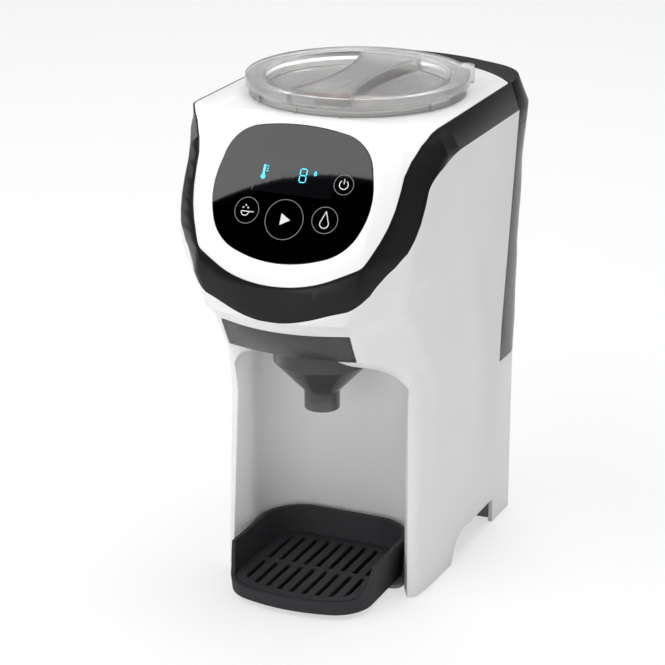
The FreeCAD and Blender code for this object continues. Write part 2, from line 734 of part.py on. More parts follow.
grip_sides = [rod(f"grip_side_{word}", "scoop_round + lid_wall", 2 * BIG,
                  (f"{side} * (grip_waist + scoop_round)", "axis_back", -BIG / 2))
              for side, word in ((-1, "left"), (1, "right"))]
grip_hollow = cut("grip_hollow", grip_room, *grip_sides)
lid_cap = cut("lid_cap", fuse("lid_body", lid_disc, lid_plug), *scoops, grip_hollow, lid_hollow, seal_groove)
ear_turn = math.radians(size("ear_angle"))
ear = rod("ear", "ear_wide / 2", "lid_top - deck_height - 2 * seam",
          (f"(lid_radius + ear_reach - ear_wide / 2) * cos(ear_angle * 1 deg)",
           f"axis_back + (lid_radius + ear_reach - ear_wide / 2) * sin(ear_angle * 1 deg)", "deck_height + 2 * seam"))
ear_clear = rod("ear_clear", "collar_radius + slide_gap", "lid_top - lid_rim_height - deck_height",
                (0, "axis_back", "deck_height"))
powder_lid = fuse("powder_lid", lid_cap, cut("lid_ear", ear, ear_clear))
lid_seal = cut("lid_seal", rod("seal_out", "hopper_radius - hopper_wall - seam / 2", "seal_thick * 2.4 - 0.1",
                               (0, "axis_back", f"{LID_LOW} - plug_depth + 3.05")),
               rod("seal_in", "plug_radius - seal_thick", "seal_thick * 3",
                   (0, "axis_back", f"{LID_LOW} - plug_depth + 3")))

# ---------------------------------------------------------------- portion wheel and stirrer
wheel_disc = rod("wheel_disc", "wheel_radius", "wheel_height", (0, "axis_back", WHEEL_LOW))
wheel_hub = rod("wheel_hub", "wheel_hub_radius", "wheel_height + 3", (0, "axis_back", WHEEL_LOW))
hub_socket = prism("hub_socket", "hex_across + 2 * run_gap", "hex_height + 1", (0, "axis_back", f"{WHEEL_LOW} - 1"))
pockets = []
for index in range(int(size("wheel_pockets"))):
    turn = f"(270 + {index} * 360 / wheel_pockets) * 1 deg"
    arm = "(axis_back - outlet_front)"
    pockets.append(rod(f"pocket_{index}", "pocket_radius", 30,
                       (f"{arm} * cos({turn})", f"axis_back + {arm} * sin({turn})", f"{WHEEL_LOW} - 5")))
portion_wheel = cut("portion_wheel", fuse("wheel_body", wheel_disc, wheel_hub), hub_socket, *pockets)

STIR_LOW = f"({WHEEL_LOW} + wheel_height + 3)"
stir_post = rod("stir_post", "stirrer_post", "stirrer_height", (0, "axis_back", STIR_LOW))
stir_cap = cone("stir_cap", "stirrer_post", "stirrer_post / 2", 6, (0, "axis_back", f"{STIR_LOW} + stirrer_height"))


def blade(turn):
    """Return one swept paddle of the stirrer: a triangular sail on the post."""
    low = size("seat_height") + size("seat_thick") + gap + size("hopper_floor") + size("run_gap") + \
        size("wheel_height") + 3.0
    reach = size("stirrer_reach")
    tall = size("stirrer_height")
    thick = size("stirrer_blade")
    sail = Part.makePolygon([
        FreeCAD.Vector(0, -thick / 2, low + 1), FreeCAD.Vector(reach, -thick / 2, low + 1),
        FreeCAD.Vector(reach, -thick / 2, low + 7), FreeCAD.Vector(reach * 0.45, -thick / 2, low + 0.55 * tall),
        FreeCAD.Vector(0, -thick / 2, low + tall), FreeCAD.Vector(0, -thick / 2, low + 1)])
    paddle = Part.Face(sail).extrude(FreeCAD.Vector(0, thick, 0))
    hole = Part.makeCylinder(0.13 * tall, 3 * thick, FreeCAD.Vector(reach * 0.34, -thick * 1.5, low + 0.3 * tall),
                             FreeCAD.Vector(0, 1, 0))
    paddle = paddle.cut(hole)
    paddle.rotate(FreeCAD.Vector(), FreeCAD.Vector(0, 0, 1), turn)
    return paddle.translated(FreeCAD.Vector(0, size("axis_back"), 0))


blades = solid("stir_blades", blade(size("blade_turn")).fuse(blade(size("blade_turn") + 180.0)))
stirrer = fuse("stirrer", stir_post, stir_cap, blades)

# ---------------------------------------------------------------- powder drive
seat_shape = casing(wall + gap).common(layer(size("seat_height"), size("seat_height") + size("seat_thick")))
seat_front = Part.makeBox(BIG, BIG, BIG, FreeCAD.Vector(-BIG / 2, size("fold_front") + 4, 0))
seat_shape = seat_shape.common(seat_front).cut(tank_zone(wall + 2 * gap))
seat_blank = solid("seat_blank", seat_shape)
GEAR_TOP = "(seat_height - gear_gap)"
GEAR_LOW = "(seat_height - gear_gap - gear_height)"
PLATE_TOP = "(seat_height - gear_gap - gear_height - gear_gap)"
PINION_BACK = "(axis_back + gear_module * (gear_teeth + pinion_teeth) / 2 + mesh_gap)"
seat_bore = rod("seat_bore", "hub_radius + run_gap", 20, (0, "axis_back", "seat_height - 5"))
seat_outlet = rod("seat_outlet", "outlet_radius + 0.6", 20, (0, "outlet_front", "seat_height - 5"))
hopper_seat = cut("hopper_seat", seat_blank, seat_bore, seat_outlet)


def gear_outline(teeth, pitch_module, thin, phase):
    """Return a gear outline with straight-flanked teeth."""
    pitch = pitch_module * teeth / 2
    step = 2 * math.pi / teeth
    marks = ((-0.36 * step, pitch - 1.15 * pitch_module), (-0.25 * step + thin / pitch, pitch),
             (-0.12 * step, pitch + 0.8 * pitch_module), (0.12 * step, pitch + 0.8 * pitch_module),
             (0.25 * step - thin / pitch, pitch), (0.36 * step, pitch - 1.15 * pitch_module))
    points = []
    for tooth in range(int(teeth)):
        for shift, radius in marks:
            turn = phase + tooth * step + shift
            points.append(FreeCAD.Vector(radius * math.cos(turn), radius * math.sin(turn), 0))
    return Part.makePolygon(points + points[:1])


gear_low = size("seat_height") - size("gear_gap") - size("gear_height")
pinion_back = size("axis_back") + size("gear_module") * (size("gear_teeth") + size("pinion_teeth")) / 2 + \
    size("mesh_gap")
big_wheel = Part.Face(gear_outline(size("gear_teeth"), size("gear_module"), 0.22, math.pi / 2))
big_wheel = big_wheel.extrude(FreeCAD.Vector(0, 0, size("gear_height")))
big_gear = solid("big_gear", big_wheel.translated(FreeCAD.Vector(0, size("axis_back"), gear_low)))
hub_shaft = rod("hub_shaft", "hub_radius", f"{WHEEL_LOW} - seam * 3 - {PLATE_TOP} - seam",
                (0, "axis_back", f"{PLATE_TOP} + seam"))
hub_journal = rod("hub_journal", "hub_radius / 2", "gear_plate", (0, "axis_back", f"{PLATE_TOP} - gear_plate + seam"))
hub_hex = prism("hub_hex", "hex_across", "hex_height + seam * 2", (0, "axis_back", f"{WHEEL_LOW} - seam * 4"))
drive_hub = fuse("drive_hub", big_gear, hub_shaft, hub_journal, hub_hex)

pinion_phase = -math.pi / 2 + math.pi / size("pinion_teeth")
small_wheel = Part.Face(gear_outline(size("pinion_teeth"), size("gear_module"), 0.22, pinion_phase))
small_wheel = small_wheel.extrude(FreeCAD.Vector(0, 0, size("gear_height")))
pinion_blank = solid("pinion_blank", small_wheel.translated(FreeCAD.Vector(0, pinion_back, gear_low)))
pinion_shaft = rod("pinion_shaft", "motor_shaft", f"{GEAR_TOP} + 2 - ({PLATE_TOP} - gear_plate + seam)",
                   (0, PINION_BACK, f"{PLATE_TOP} - gear_plate + seam"))
motor_pinion = fuse("motor_pinion", pinion_blank, pinion_shaft)

drive_posts = []
for index, (across, back) in enumerate(((-30.0, "axis_back - 22"), (30.0, "axis_back - 22"),
                                        (-26.0, f"{PINION_BACK} + 4"), (26.0, f"{PINION_BACK} + 4"))):
    drive_posts.append(rod(f"drive_post_{index}", "drive_post", "2 * gear_gap + gear_height",
                           (across, back, PLATE_TOP)))
plate_blank = block("plate_blank", 72, f"{PINION_BACK} + 12 - (axis_back - 28)", "gear_plate",
                    (-36, "axis_back - 28", f"{PLATE_TOP} - gear_plate"))
plate_bore = rod("plate_bore", "hub_radius / 2 + run_gap", 20, (0, "axis_back", f"{PLATE_TOP} - 10"))
plate_eye = rod("plate_eye", "motor_shaft + run_gap", 20, (0, PINION_BACK, f"{PLATE_TOP} - 10"))
gear_plate = cut("gear_bracket", fuse("bracket_body", plate_blank, *drive_posts), plate_bore, plate_eye)
motor_can = rod("motor_can", "motor_radius", "motor_height",
                (0, PINION_BACK, f"{PLATE_TOP} - gear_plate - motor_height"))
motor_tail = rod("motor_tail", "motor_radius / 3", 3,
                 (0, PINION_BACK, f"{PLATE_TOP} - gear_plate - motor_height - 3"))
powder_motor = fuse("powder_motor", motor_can, motor_tail)
chute_out = rod("chute_out", "chute_radius", "chute_length", (0, "outlet_front", "guide_top"))
chute_rim = rod("chute_rim", "chute_radius + 3", 2, (0, "outlet_front", "seat_height - 2"))
chute_in = rod("chute_in", "chute_radius - chute_wall", "chute_length + 20", (0, "outlet_front", "guide_top - 10"))
powder_chute = cut("powder_chute", fuse("chute_body", chute_out, chute_rim), chute_in)

# ---------------------------------------------------------------- funnel
band_box = layer(size("band_bottom"), size("band_top"))
band_side = Part.makeBox(2 * size("band_half"), BIG, BIG, FreeCAD.Vector(-size("band_half"), -BIG / 2 - 150, 0))
band = form.cut(casing(size("band_thick"))).common(band_box).common(band_side)
band_front = Part.makeBox(BIG, BIG, BIG, FreeCAD.Vector(-BIG / 2, size("band_back") - BIG, 0))
funnel_band = solid("funnel_band", band.common(band_front))
tongue = Part.makeBox(2 * size("tongue_half"), BIG, size("tongue_thick"),
                      FreeCAD.Vector(-size("tongue_half"), size("tongue_back") - BIG, size("band_bottom")))
funnel_tongue = solid("funnel_tongue", tongue.common(casing(1.0)))
cup = rod("cup", "cup_radius", "band_bottom - cup_bottom + 1", (0, "funnel_front", "cup_bottom"))
cup_cone = cone("cup_cone", "spout_radius", "cup_radius", "cup_bottom - spout_top", (0, "funnel_front", "spout_top"))
spout = rod("spout", "spout_radius", "spout_top - spout_bottom", (0, "funnel_front", "spout_bottom"))
cup_room = rod("cup_room", "cup_radius - cup_wall", 60, (0, "funnel_front", "cup_bottom"))
cone_room = cone("cone_room", "spout_radius - cup_wall", "cup_radius - cup_wall", "cup_bottom - spout_top",
                 (0, "funnel_front", "spout_top"))
spout_room = rod("spout_room", "spout_radius - cup_wall", 30, (0, "funnel_front", "spout_bottom - 10"))
funnel = cut("funnel", fuse("funnel_body", funnel_band, funnel_tongue, cup, cup_cone, spout), cup_room,
             cone_room, spout_room)

GUIDE_HALF = "(tongue_half + slide_gap + guide_wall)"
guide_blank = block("guide_blank", f"2 * {GUIDE_HALF}", "76", "guide_top - bay_roof",
                    (f"-{GUIDE_HALF}", "tongue_back + slide_gap + guide_wall - 76", "bay_roof"))
guide_room = block("guide_room", "2 * (tongue_half + slide_gap)", "76",
                   "guide_top - guide_wall - band_bottom + seam",
                   ("-tongue_half - slide_gap", "tongue_back + slide_gap - 76", "band_bottom - seam"))
guide_slot = block("guide_slot", "2 * (cup_radius + 2 * slide_gap)", "100", 60,
                   ("-cup_radius - 2 * slide_gap", "funnel_front - 100", "bay_roof - 30"))
guide_slot_end = rod("guide_slot_end", "cup_radius + 2 * slide_gap", "60", (0, "funnel_front", "bay_roof - 30"))
guide_slot_cap = block("guide_slot_cap", 200, 200, 60, (-100, -150, "band_bottom - seam"))
guide_below = cut("guide_below", fuse("guide_slots", guide_slot, guide_slot_end), guide_slot_cap)
guide_outlet = rod("guide_outlet", "chute_radius - chute_wall", 20, (0, "outlet_front", "guide_top - 12"))
guide_nozzle = rod("guide_nozzle", "nozzle_radius", 20, (0, "nozzle_front", "guide_top - 12"))
guide_button = rod("guide_button", "plunger_radius + run_gap", 20,
                   ("switch_across", "tongue_back - 5", "band_bottom + tongue_thick / 2"), "y")
guide_limit = solid("guide_limit", casing(wall + gap))
funnel_guide = cut("funnel_guide", common("guide_fitted", guide_blank, guide_limit), guide_room, guide_below,
                   guide_outlet, guide_nozzle, guide_button, bay_lined)

SWITCH_BACK = "(tongue_back + slide_gap + guide_wall)"
switch_box = block("switch_box", 14, 9, 10, ("switch_across - 7", SWITCH_BACK, "band_bottom + tongue_thick / 2 - 5"))
switch_eye = rod("switch_eye", "plunger_radius + run_gap", 7,
                 ("switch_across", f"{SWITCH_BACK} - 1", "band_bottom + tongue_thick / 2"), "y")
funnel_switch = cut("funnel_switch", switch_box, switch_eye)
switch_plunger = rod("switch_plunger", "plunger_radius", f"{SWITCH_BACK} + 6 - plunger_travel - 0.3 - (tongue_back + 0.3)",
                     ("switch_across", "tongue_back + 0.3", "band_bottom + tongue_thick / 2"), "y")

# ---------------------------------------------------------------- water path
nozzle_out = rod("nozzle_out", "nozzle_radius", "guide_wall + 9", (0, "nozzle_front", "guide_top - guide_wall"))
nozzle_rim = rod("nozzle_rim", "nozzle_radius + 2.5", 2, (0, "nozzle_front", "guide_top"))
nozzle_in = rod("nozzle_in", "tube_bore", 40, (0, "nozzle_front", "guide_top - 20"))
water_nozzle = cut("water_nozzle", fuse("nozzle_body", nozzle_out, nozzle_rim), nozzle_in)
BASE_TOP = "(arch_height + base_thick)"
pump_can = rod("pump_can", "pump_radius", "pump_height * 0.6",
               ("pump_across", "pump_back", f"{BASE_TOP} + pump_height * 0.4"))
pump_head = block("pump_head", "pump_radius * 1.9", "pump_radius * 1.9", "pump_height * 0.4",
                  ("pump_across - pump_radius * 0.95", "pump_back - pump_radius * 0.95", BASE_TOP))
water_pump = fuse("water_pump", pump_can, pump_head)
heater_can = rod("heater_can", "heater_radius", "heater_height - 8",
                 ("heater_across", "heater_back", f"{BASE_TOP} + 4"))
heater_foot = rod("heater_foot", "heater_radius + 1.5", 4, ("heater_across", "heater_back", BASE_TOP))
heater_head = rod("heater_head", "heater_radius + 1.5", 4,
                  ("heater_across", "heater_back", f"{BASE_TOP} + heater_height - 4"))
water_heater = fuse("water_heater", heater_can, heater_foot, heater_head)
heat_cutout = block("heat_cutout", 12, 5, 16, ("heater_across - 6", "heater_back + heater_radius",
                                              f"{BASE_TOP} + heater_height / 2 - 8"))


def tube(points, radius, bore):
    """Return a hose along straight runs joined by tangent arcs."""
    nodes = [FreeCAD.Vector(*point) for point in points]
    edges = []
    start = nodes[0]
    for before, here, after in zip(nodes, nodes[1:], nodes[2:]):
        come = (before - here).normalize()
        leave = (after - here).normalize()
        reach = 0.45 * min(before.distanceToPoint(here), after.distanceToPoint(here))
        half = come.getAngle(leave) / 2
        bend = reach * math.tan(half)
        middle = here + (come + leave).normalize() * (bend / math.sin(half) - bend)
        edges.append(Part.LineSegment(start, here + come * reach).toShape())
        edges.append(Part.Arc(here + come * reach, middle, here + leave * reach).toShape())
        start = here + leave * reach
    edges.append(Part.LineSegment(start, nodes[-1]).toShape())
    path = Part.Wire(edges)
    along = (nodes[1] - nodes[0]).normalize()
    walls = [Part.Wire([Part.makeCircle(each, nodes[0], along)]) for each in (radius, bore)]
    outer, inner = (path.makePipeShell([each], True, False) for each in walls)
    return outer.cut(inner)


tube_radius = size("tube_radius")
bore = size("tube_bore")
base_top = size("arch_height") + size("base_thick")
port_level = base_top + 9.0
pump_side = size("pump_radius") * 0.95
feed_hose = solid("feed_hose", tube([
    (0.0, size("valve_back"), size("tank_floor") - size("dock_depth") - 9.0),
    (0.0, size("valve_back"), 66.0), (-16.0, size("valve_back") - 12.0, 40.0),
    (size("pump_across"), size("pump_back") + pump_side + 20.0, port_level),
    (size("pump_across"), size("pump_back") + pump_side, port_level)], tube_radius, bore))
pressure_hose = solid("pressure_hose", tube([
    (size("pump_across") + pump_side, size("pump_back"), port_level),
    (size("pump_across") + pump_side + 14.0, size("pump_back"), port_level),
    (size("heater_across") - size("heater_radius") - 14.0, size("heater_back"), port_level + 6.0),
    (size("heater_across") - size("heater_radius"), size("heater_back"), port_level + 6.0)], tube_radius, bore))
heater_top = base_top + size("heater_height")
hose_top = size("seat_height") - 7.0
hot_hose = solid("hot_hose", tube([
    (size("heater_across"), size("heater_back"), heater_top),
    (size("heater_across"), size("heater_back"), heater_top + 38.0),
    (size("bay_half") + 2.0, size("bay_back") + 8.0, hose_top - 40.0),
    (size("bay_half"), size("bay_back") - 14.0, hose_top - 12.0),
    (size("band_half") - 8.0, size("nozzle_front") + 16.0, hose_top),
    (0.0, size("nozzle_front"), hose_top), (0.0, size("nozzle_front"), size("guide_top") + 9.0)],
    tube_radius, bore))

# ---------------------------------------------------------------- base
base_form = casing(wall + gap).cut(bay(wall + gap))
plate = base_form.common(layer(size("arch_height"), base_top))
front_leg = Part.makeBox(BIG, BIG / 2 + size("arch_front") - 2, BIG, FreeCAD.Vector(-BIG / 2, -BIG / 2, 0))
rear_leg = Part.makeBox(BIG, BIG, BIG, FreeCAD.Vector(-BIG / 2, size("arch_back") + 2, 0))
rear_notch = Part.makeBox(2 * size("rear_notch_half") + 4, BIG, 2 * size("arch_height"),
                          FreeCAD.Vector(-size("rear_notch_half") - 2, 0, -size("arch_height")))
legs = base_form.common(layer(size("foot_pad") - size("pad_recess"), size("arch_height")))
legs = legs.common(front_leg).fuse(legs.common(rear_leg).cut(rear_notch))
base_blank = solid("base_blank", plate.fuse(legs))
pad_spots = ((-1, "pad_across", "pad_front", "pad_radius"), (1, "pad_across", "pad_front", "pad_radius"),
             (-1, "rear_pad_across", "pad_rear", "rear_pad_radius"),
             (1, "rear_pad_across", "pad_rear", "rear_pad_radius"))
pads = []
recesses = []
for index, (side, across, back, radius) in enumerate(pad_spots):
    at = (f"{side} * ({across})", back, 0)
    pads.append(rod(f"pad_{index}", radius, "foot_pad", at))
    recesses.append(rod(f"pad_recess_{index}", f"{radius} + 0.1", "foot_pad", at))
screws = []
screw_holes = []
for index, (side, across, back) in enumerate(post_spots):
    spot = f"{side} * ({across})"
    shank = rod(f"screw_shank_{index}", "screw_radius", "screw_length", (spot, back, "arch_height - 1"))
    head = rod(f"screw_head_{index}", "screw_head", 2, (spot, back, "arch_height - 2"))
    screws.append(fuse(f"screw_{index}", shank, head))
    screw_holes.append(rod(f"screw_hole_{index}", "screw_radius + 0.2", 40, (spot, back, -5)))
    screw_holes.append(rod(f"screw_well_{index}", "screw_head + 0.3", "arch_height + 5", (spot, back, -5)))
cord_hole = rod("cord_hole", "gland_radius - 1", "base_thick * 4", (0, "arch_back + 16", "arch_height - 5"))
base_plate = cut("base_plate", base_blank, *recesses, *screw_holes, cord_hole)
doc.recompute()
rubber_feet = solid("rubber_feet", Part.makeCompound([item.Shape for item in pads]))
case_screws = solid("case_screws", Part.makeCompound([item.Shape for item in screws]))

floor_front = size("bay_mouth") - 10.0
floor_plan = mirrored([(0.0, floor_front, 60.0), (size("bay_half") - gap, floor_front + 4.0, 6.0),
                       (size("bay_half") - gap, size("bay_back") - gap, size("bay_round") - gap)])
bay_floor = solid("bay_floor", slab(floor_plan, size("table_gap"), size("table_gap") + size("bay_floor_thick")))

gland_rim = rod("gland_rim", "gland_radius + 2", 2, (0, "arch_back + 16", BASE_TOP))
gland_body = rod("gland_body", "gland_radius - 1.1", "base_thick + 6", (0, "arch_back + 16", "arch_height - 4"))
gland_bore = rod("gland_bore", "gland_radius / 2", 40, (0, "arch_back + 16", 0))
cord_gland = cut("cord_gland", fuse("gland_blank", gland_rim, gland_body), gland_bore)

power_plate = block("power_plate", "power_board_wide", 1.6, "power_board_tall",
                    ("-power_board_wide / 2", "power_board_back", BASE_TOP))
transformer = block("transformer", 26, 14, 22, (-13, "power_board_back + 1.6", f"{BASE_TOP} + 26"))
capacitor = rod("capacitor", 6, 12, (-26, "power_board_back + 1.6", f"{BASE_TOP} + 44"), "y")
relay = block("relay", 14, 10, 12, (20, "power_board_back + 1.6", f"{BASE_TOP} + 40"))
power_board = fuse("power_board", power_plate, transformer, capacitor, relay)

# ---------------------------------------------------------------- drip tray
tray_low = size("table_gap") + size("bay_floor_thick") + gap


def tray_plan(grow):
    """Return the outline of the tray's rim."""
    half = size("tray_half")
    return grown(mirrored([
        (0.0, size("tray_front"), size("tray_bow")), (half, size("tray_front") + 11.0, size("tray_round")),
        (half, size("tray_back"), size("tray_round"))]), grow)


def tray_body(grow, low, high):
    """Return the drafted body of the tray between two levels."""
    draft = size("tray_draft")
    wires = [outline(tray_plan(grow - draft), low), outline(tray_plan(grow), high)]
    return Part.makeLoft(wires, True, True)


tray_wall = size("tray_wall")
tray = tray_body(0.0, tray_low, size("tray_height"))
tray = tray.cut(tray_body(-tray_wall, tray_low + tray_wall, size("tray_height") + 0.01))
dip = Part.Wire([edge for edge in outline([
    (-BIG / 2, size("tray_height") + 5, 0.0), (size("dip_back"), size("tray_height") + 5, 0.0),
    (size("dip_back") - 9.0, size("tray_lip"), 9.0), (-BIG / 2, size("tray_lip"), 0.0)]).Edges])
dip_tool = Part.Face(dip).extrude(FreeCAD.Vector(0, 0, BIG))
dip_tool.Placement = FreeCAD.Placement(FreeCAD.Vector(-BIG / 2, 0, 0), FreeCAD.Rotation(FreeCAD.Vector(1, 1, 1), 120))
tray = tray.cut(dip_tool)
for rib_across in (-24.0, 0.0, 24.0):
    rib = Part.makeBox(2.0, 60.0, size("grate_height") - tray_low - tray_wall - 0.3 + 1.0,
                       FreeCAD.Vector(rib_across - 1.0, size("tray_front") + 20.0, tray_low + tray_wall - 1.0))
    tray = tray.fuse(rib)
drip_tray = solid("drip_tray", tray)

grate_low = size("grate_height")
share = (grate_low - tray_low) / (size("tray_height") - tray_low)
grate_grow = -tray_wall - size("tray_draft") * (1 - share) - 2 * gap
grate = slab(tray_plan(grate_grow), grate_low, grate_low + size("grate_thick"))
slot_room = tray_plan(grate_grow - 6.0)
slots = []
count = int(size("grate_slots"))
for index in range(count):
    across = (index - (count - 1) / 2) * size("slot_pitch")
    half = size("slot_wide") / 2
    slots.append(Part.makeBox(2 * half, BIG, 20, FreeCAD.Vector(across - half, -BIG / 2, grate_low - 5)))
slot_area = slab(slot_room, grate_low - 5, grate_low + 10)
slot_mid = Part.makeBox(BIG, 4.0, 20, FreeCAD.Vector(-BIG / 2, (size("tray_front") + size("tray_back")) / 2 - 2.0,
                                                     grate_low - 5))
slot_tool = Part.makeCompound(slots).common(slot_area).cut(slot_mid)
drip_grate = solid("drip_grate", grate.cut(slot_tool))

# ---------------------------------------------------------------- water tank
tank_wall = size("tank_wall")
tank_form = form.common(tank_zone(-size("slide_gap"))).common(layer(size("tank_floor"), size("tank_top")))
tank_room = casing(tank_wall).common(tank_zone(-size("slide_gap") - tank_wall))
tank_shell = solid("tank_shell", tank_form.cut(tank_room))
HINGE = ("hinge_back", "tank_top + seam")
tank_knuckles = []
lid_reliefs = []
for index, side in enumerate((-1, 1)):
    left = "-hinge_half" if side < 0 else "knuckle_half + seam"
    tank_knuckles.append(rod(f"tank_knuckle_{index}", "hinge_radius", "hinge_half - knuckle_half - seam",
                             (left, *HINGE), "x"))
    tank_knuckles.append(block(f"tank_web_{index}", "hinge_half - knuckle_half - seam", "hinge_reach",
                               "hinge_radius", (left, "hinge_back - hinge_reach", "tank_top - hinge_radius")))
    lid_reliefs.append(rod(f"lid_relief_{index}", "hinge_radius + seam", "hinge_half - knuckle_half + seam",
                           (f"{left} - seam", *HINGE), "x"))
tank_low = size("tank_floor") + size("slide_gap")
float_back = size("axis_back") + math.sqrt((size("tank_radius") + 10.5) ** 2 - size("float_across") ** 2)
float_stem = Part.makeCylinder(size("float_stem"), size("float_height") + size("float_travel") + 4.0,
                               FreeCAD.Vector(size("float_across"), float_back, tank_low + 1.0))
stem_item = solid("float_guide", float_stem)
tank_relief = rod("tank_relief", "hinge_radius + seam", "2 * (knuckle_half + seam)",
                  ("-knuckle_half - seam", *HINGE), "x")
pin_bore = rod("pin_bore", "hinge_pin", "4 * hinge_half", ("-2 * hinge_half", *HINGE), "x")
valve_hole = rod("valve_hole", "valve_stem + run_gap", 20, (0, "valve_back", "tank_floor - 10"))
VALVE_SEAT = "(tank_floor + slide_gap + tank_wall)"
VALVE_LOW = "(tank_floor - 1)"
cage_out = rod("cage_out", "cage_radius", "valve_height", (0, "valve_back", VALVE_SEAT))
cage_in = rod("cage_in", "cage_radius - 1", "valve_height - 0.2", (0, "valve_back", f"{VALVE_SEAT} - 1"))
cage_top = rod("cage_top", "valve_stem + run_gap", 30, (0, "valve_back", VALVE_SEAT))
cage_gate = block("cage_gate", 30, 4, "valve_height - 6", (-15, "valve_back - 2", f"{VALVE_SEAT} + 1"))
valve_cage = cut("valve_cage", cage_out, cage_in, cage_top, cage_gate)
water_tank = cut("water_tank", fuse("tank_body", cut("tank_notched", tank_shell, tank_relief), stem_item,
                                    *tank_knuckles), pin_bore, valve_hole)

valve_head = rod("valve_disc", "valve_head", "valve_thick",
                 (0, "valve_back", f"{VALVE_SEAT} + seal_height + seal_gap"))
valve_rod = rod("valve_rod", "valve_stem", f"{VALVE_SEAT} + valve_height + 0.5 - {VALVE_LOW}",
                (0, "valve_back", VALVE_LOW))
tank_valve = fuse("tank_valve", valve_head, valve_rod)
valve_seal = cut("valve_seal", rod("seal_ring_out", "valve_head", "seal_height", (0, "valve_back", VALVE_SEAT)),
                 rod("seal_ring_in", "valve_stem + run_gap", "seal_height", (0, "valve_back", VALVE_SEAT)))
spring_low = tank_low + tank_wall + size("seal_height") + size("seal_gap") + size("valve_thick")
spring_high = tank_low + tank_wall + size("valve_height") - 1.2
wire_radius = size("spring_wire") / 2
turns = 4
travel = spring_high - spring_low - 2 * wire_radius - 0.1
helix = Part.makeHelix(travel / turns, travel, size("spring_radius"))
ring = Part.Wire([Part.makeCircle(wire_radius, FreeCAD.Vector(size("spring_radius"), 0, 0), FreeCAD.Vector(0, 1, 0))])
coil = Part.Wire(helix).makePipeShell([ring], True, True)
valve_spring = solid("valve_spring", coil.translated(
    FreeCAD.Vector(0, size("valve_back"), spring_low + wire_radius + 0.05)))

float_bore = size("float_stem") + size("run_gap")
float_ring = Part.makeCylinder(size("float_radius"), size("float_height"))
float_ring = float_ring.cut(Part.makeCylinder(float_bore, 3 * size("float_height"),
                                              FreeCAD.Vector(0, 0, -size("float_height"))))
tank_float = solid("tank_float", float_ring.translated(
    FreeCAD.Vector(size("float_across"), float_back, tank_low + tank_wall + gap)))

lid_wall = size("tank_lid_wall")
lid_form = form.common(tank_zone(-size("slide_gap"))).common(layer(size("tank_top") + gap, deck_level()))
lid_room = casing(lid_wall).common(tank_zone(-size("slide_gap") - lid_wall)).common(layer(0, deck_level() - lid_wall))
tank_lid_shell = solid("tank_lid_shell", lid_form.cut(lid_room))
lid_knuckle = rod("lid_knuckle", "hinge_radius", "2 * knuckle_half", ("-knuckle_half", *HINGE), "x")
lid_web = block("lid_web", "2 * knuckle_half", "hinge_reach", "hinge_radius",
                ("-knuckle_half", "hinge_back - hinge_reach", "tank_top + seam"))
tank_lid = cut("tank_lid", fuse("tank_lid_body", cut("lid_notched", tank_lid_shell, *lid_reliefs), lid_knuckle,
                                lid_web), pin_bore)
hinge_pin = rod("tank_hinge_pin", "hinge_pin - 0.03", "2 * hinge_half", ("-hinge_half", *HINGE), "x")

dock_body = rod("dock_body", "dock_radius", "dock_depth", (0, "valve_back", "tank_floor - dock_depth"))
dock_rim = rod("dock_rim", "dock_radius + 0.9", 3, (0, "valve_back", "tank_floor - casing_wall - 3"))
dock_barb = rod("dock_barb", "tube_radius", 9, (0, "valve_back", "tank_floor - dock_depth - 9"))
dock_cup = rod("dock_cup", "dock_radius - 1.4", 8, (0, "valve_back", "tank_floor - 6"))
dock_drain = rod("dock_drain", 0.9, BIG, (1.6, "valve_back", -BIG / 2))
dock_pin = rod("dock_pin", 1.2, f"{VALVE_LOW} - tank_floor + 5.8", (-0.6, "valve_back", "tank_floor - 6.1"))
tank_dock = fuse("tank_dock", cut("dock_shell", fuse("dock_blank", dock_body, dock_rim, dock_barb), dock_cup,
                                  dock_drain), dock_pin)

doc.recompute()

PIECES = {
    "housing": housing, "trim_band": trim_band, "top_cover": top_cover, "panel_lens": panel_lens,
    "touch_film": touch_film, "display_module": display_module, "control_board": control_board,
    "powder_container": powder_container, "outlet_guard": outlet_guard, "powder_lid": powder_lid,
    "lid_seal": lid_seal, "portion_wheel": portion_wheel, "stirrer": stirrer, "hopper_seat": hopper_seat,
    "drive_hub": drive_hub, "motor_pinion": motor_pinion, "gear_bracket": gear_plate,
    "powder_motor": powder_motor, "powder_chute": powder_chute, "funnel": funnel,
    "funnel_guide": funnel_guide, "funnel_switch": funnel_switch, "switch_plunger": switch_plunger,
    "water_nozzle": water_nozzle, "water_pump": water_pump, "water_heater": water_heater,
    "heat_cutout": heat_cutout, "feed_hose": feed_hose, "pressure_hose": pressure_hose,
    "hot_hose": hot_hose, "base_plate": base_plate, "bay_floor": bay_floor, "rubber_feet": rubber_feet,
    "case_screws": case_screws, "cord_gland": cord_gland, "power_board": power_board,
    "drip_tray": drip_tray, "drip_grate": drip_grate, "water_tank": water_tank, "tank_lid": tank_lid,
    "tank_hinge_pin": hinge_pin, "tank_valve": tank_valve, "valve_seal": valve_seal,
    "valve_spring": valve_spring, "valve_cage": valve_cage, "tank_float": tank_float,
    "tank_dock": tank_dock,
}
problems = [item.Name for item in doc.Objects if {"Invalid", "Error"} & set(item.State)]
for label, item in PIECES.items():
    item.Label = label
    if item.Shape.isNull() or not item.Shape.isValid() or not item.Shape.Solids:
        problems.append(label)
if problems:
    raise RuntimeError("these objects failed: " + ", ".join(problems))
os.makedirs("parts", exist_ok=True)
for label, item in PIECES.items():
    shape = item.Shape
    print(f"{label:18s} solids {len(shape.Solids)}  volume {shape.Volume:10.1f}")
    shape.exportStep(f"parts/{label}.step")
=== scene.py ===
import json
import logging
import math
from dataclasses import dataclass, field
from enum import Enum
from typing import Iterable, Sequence

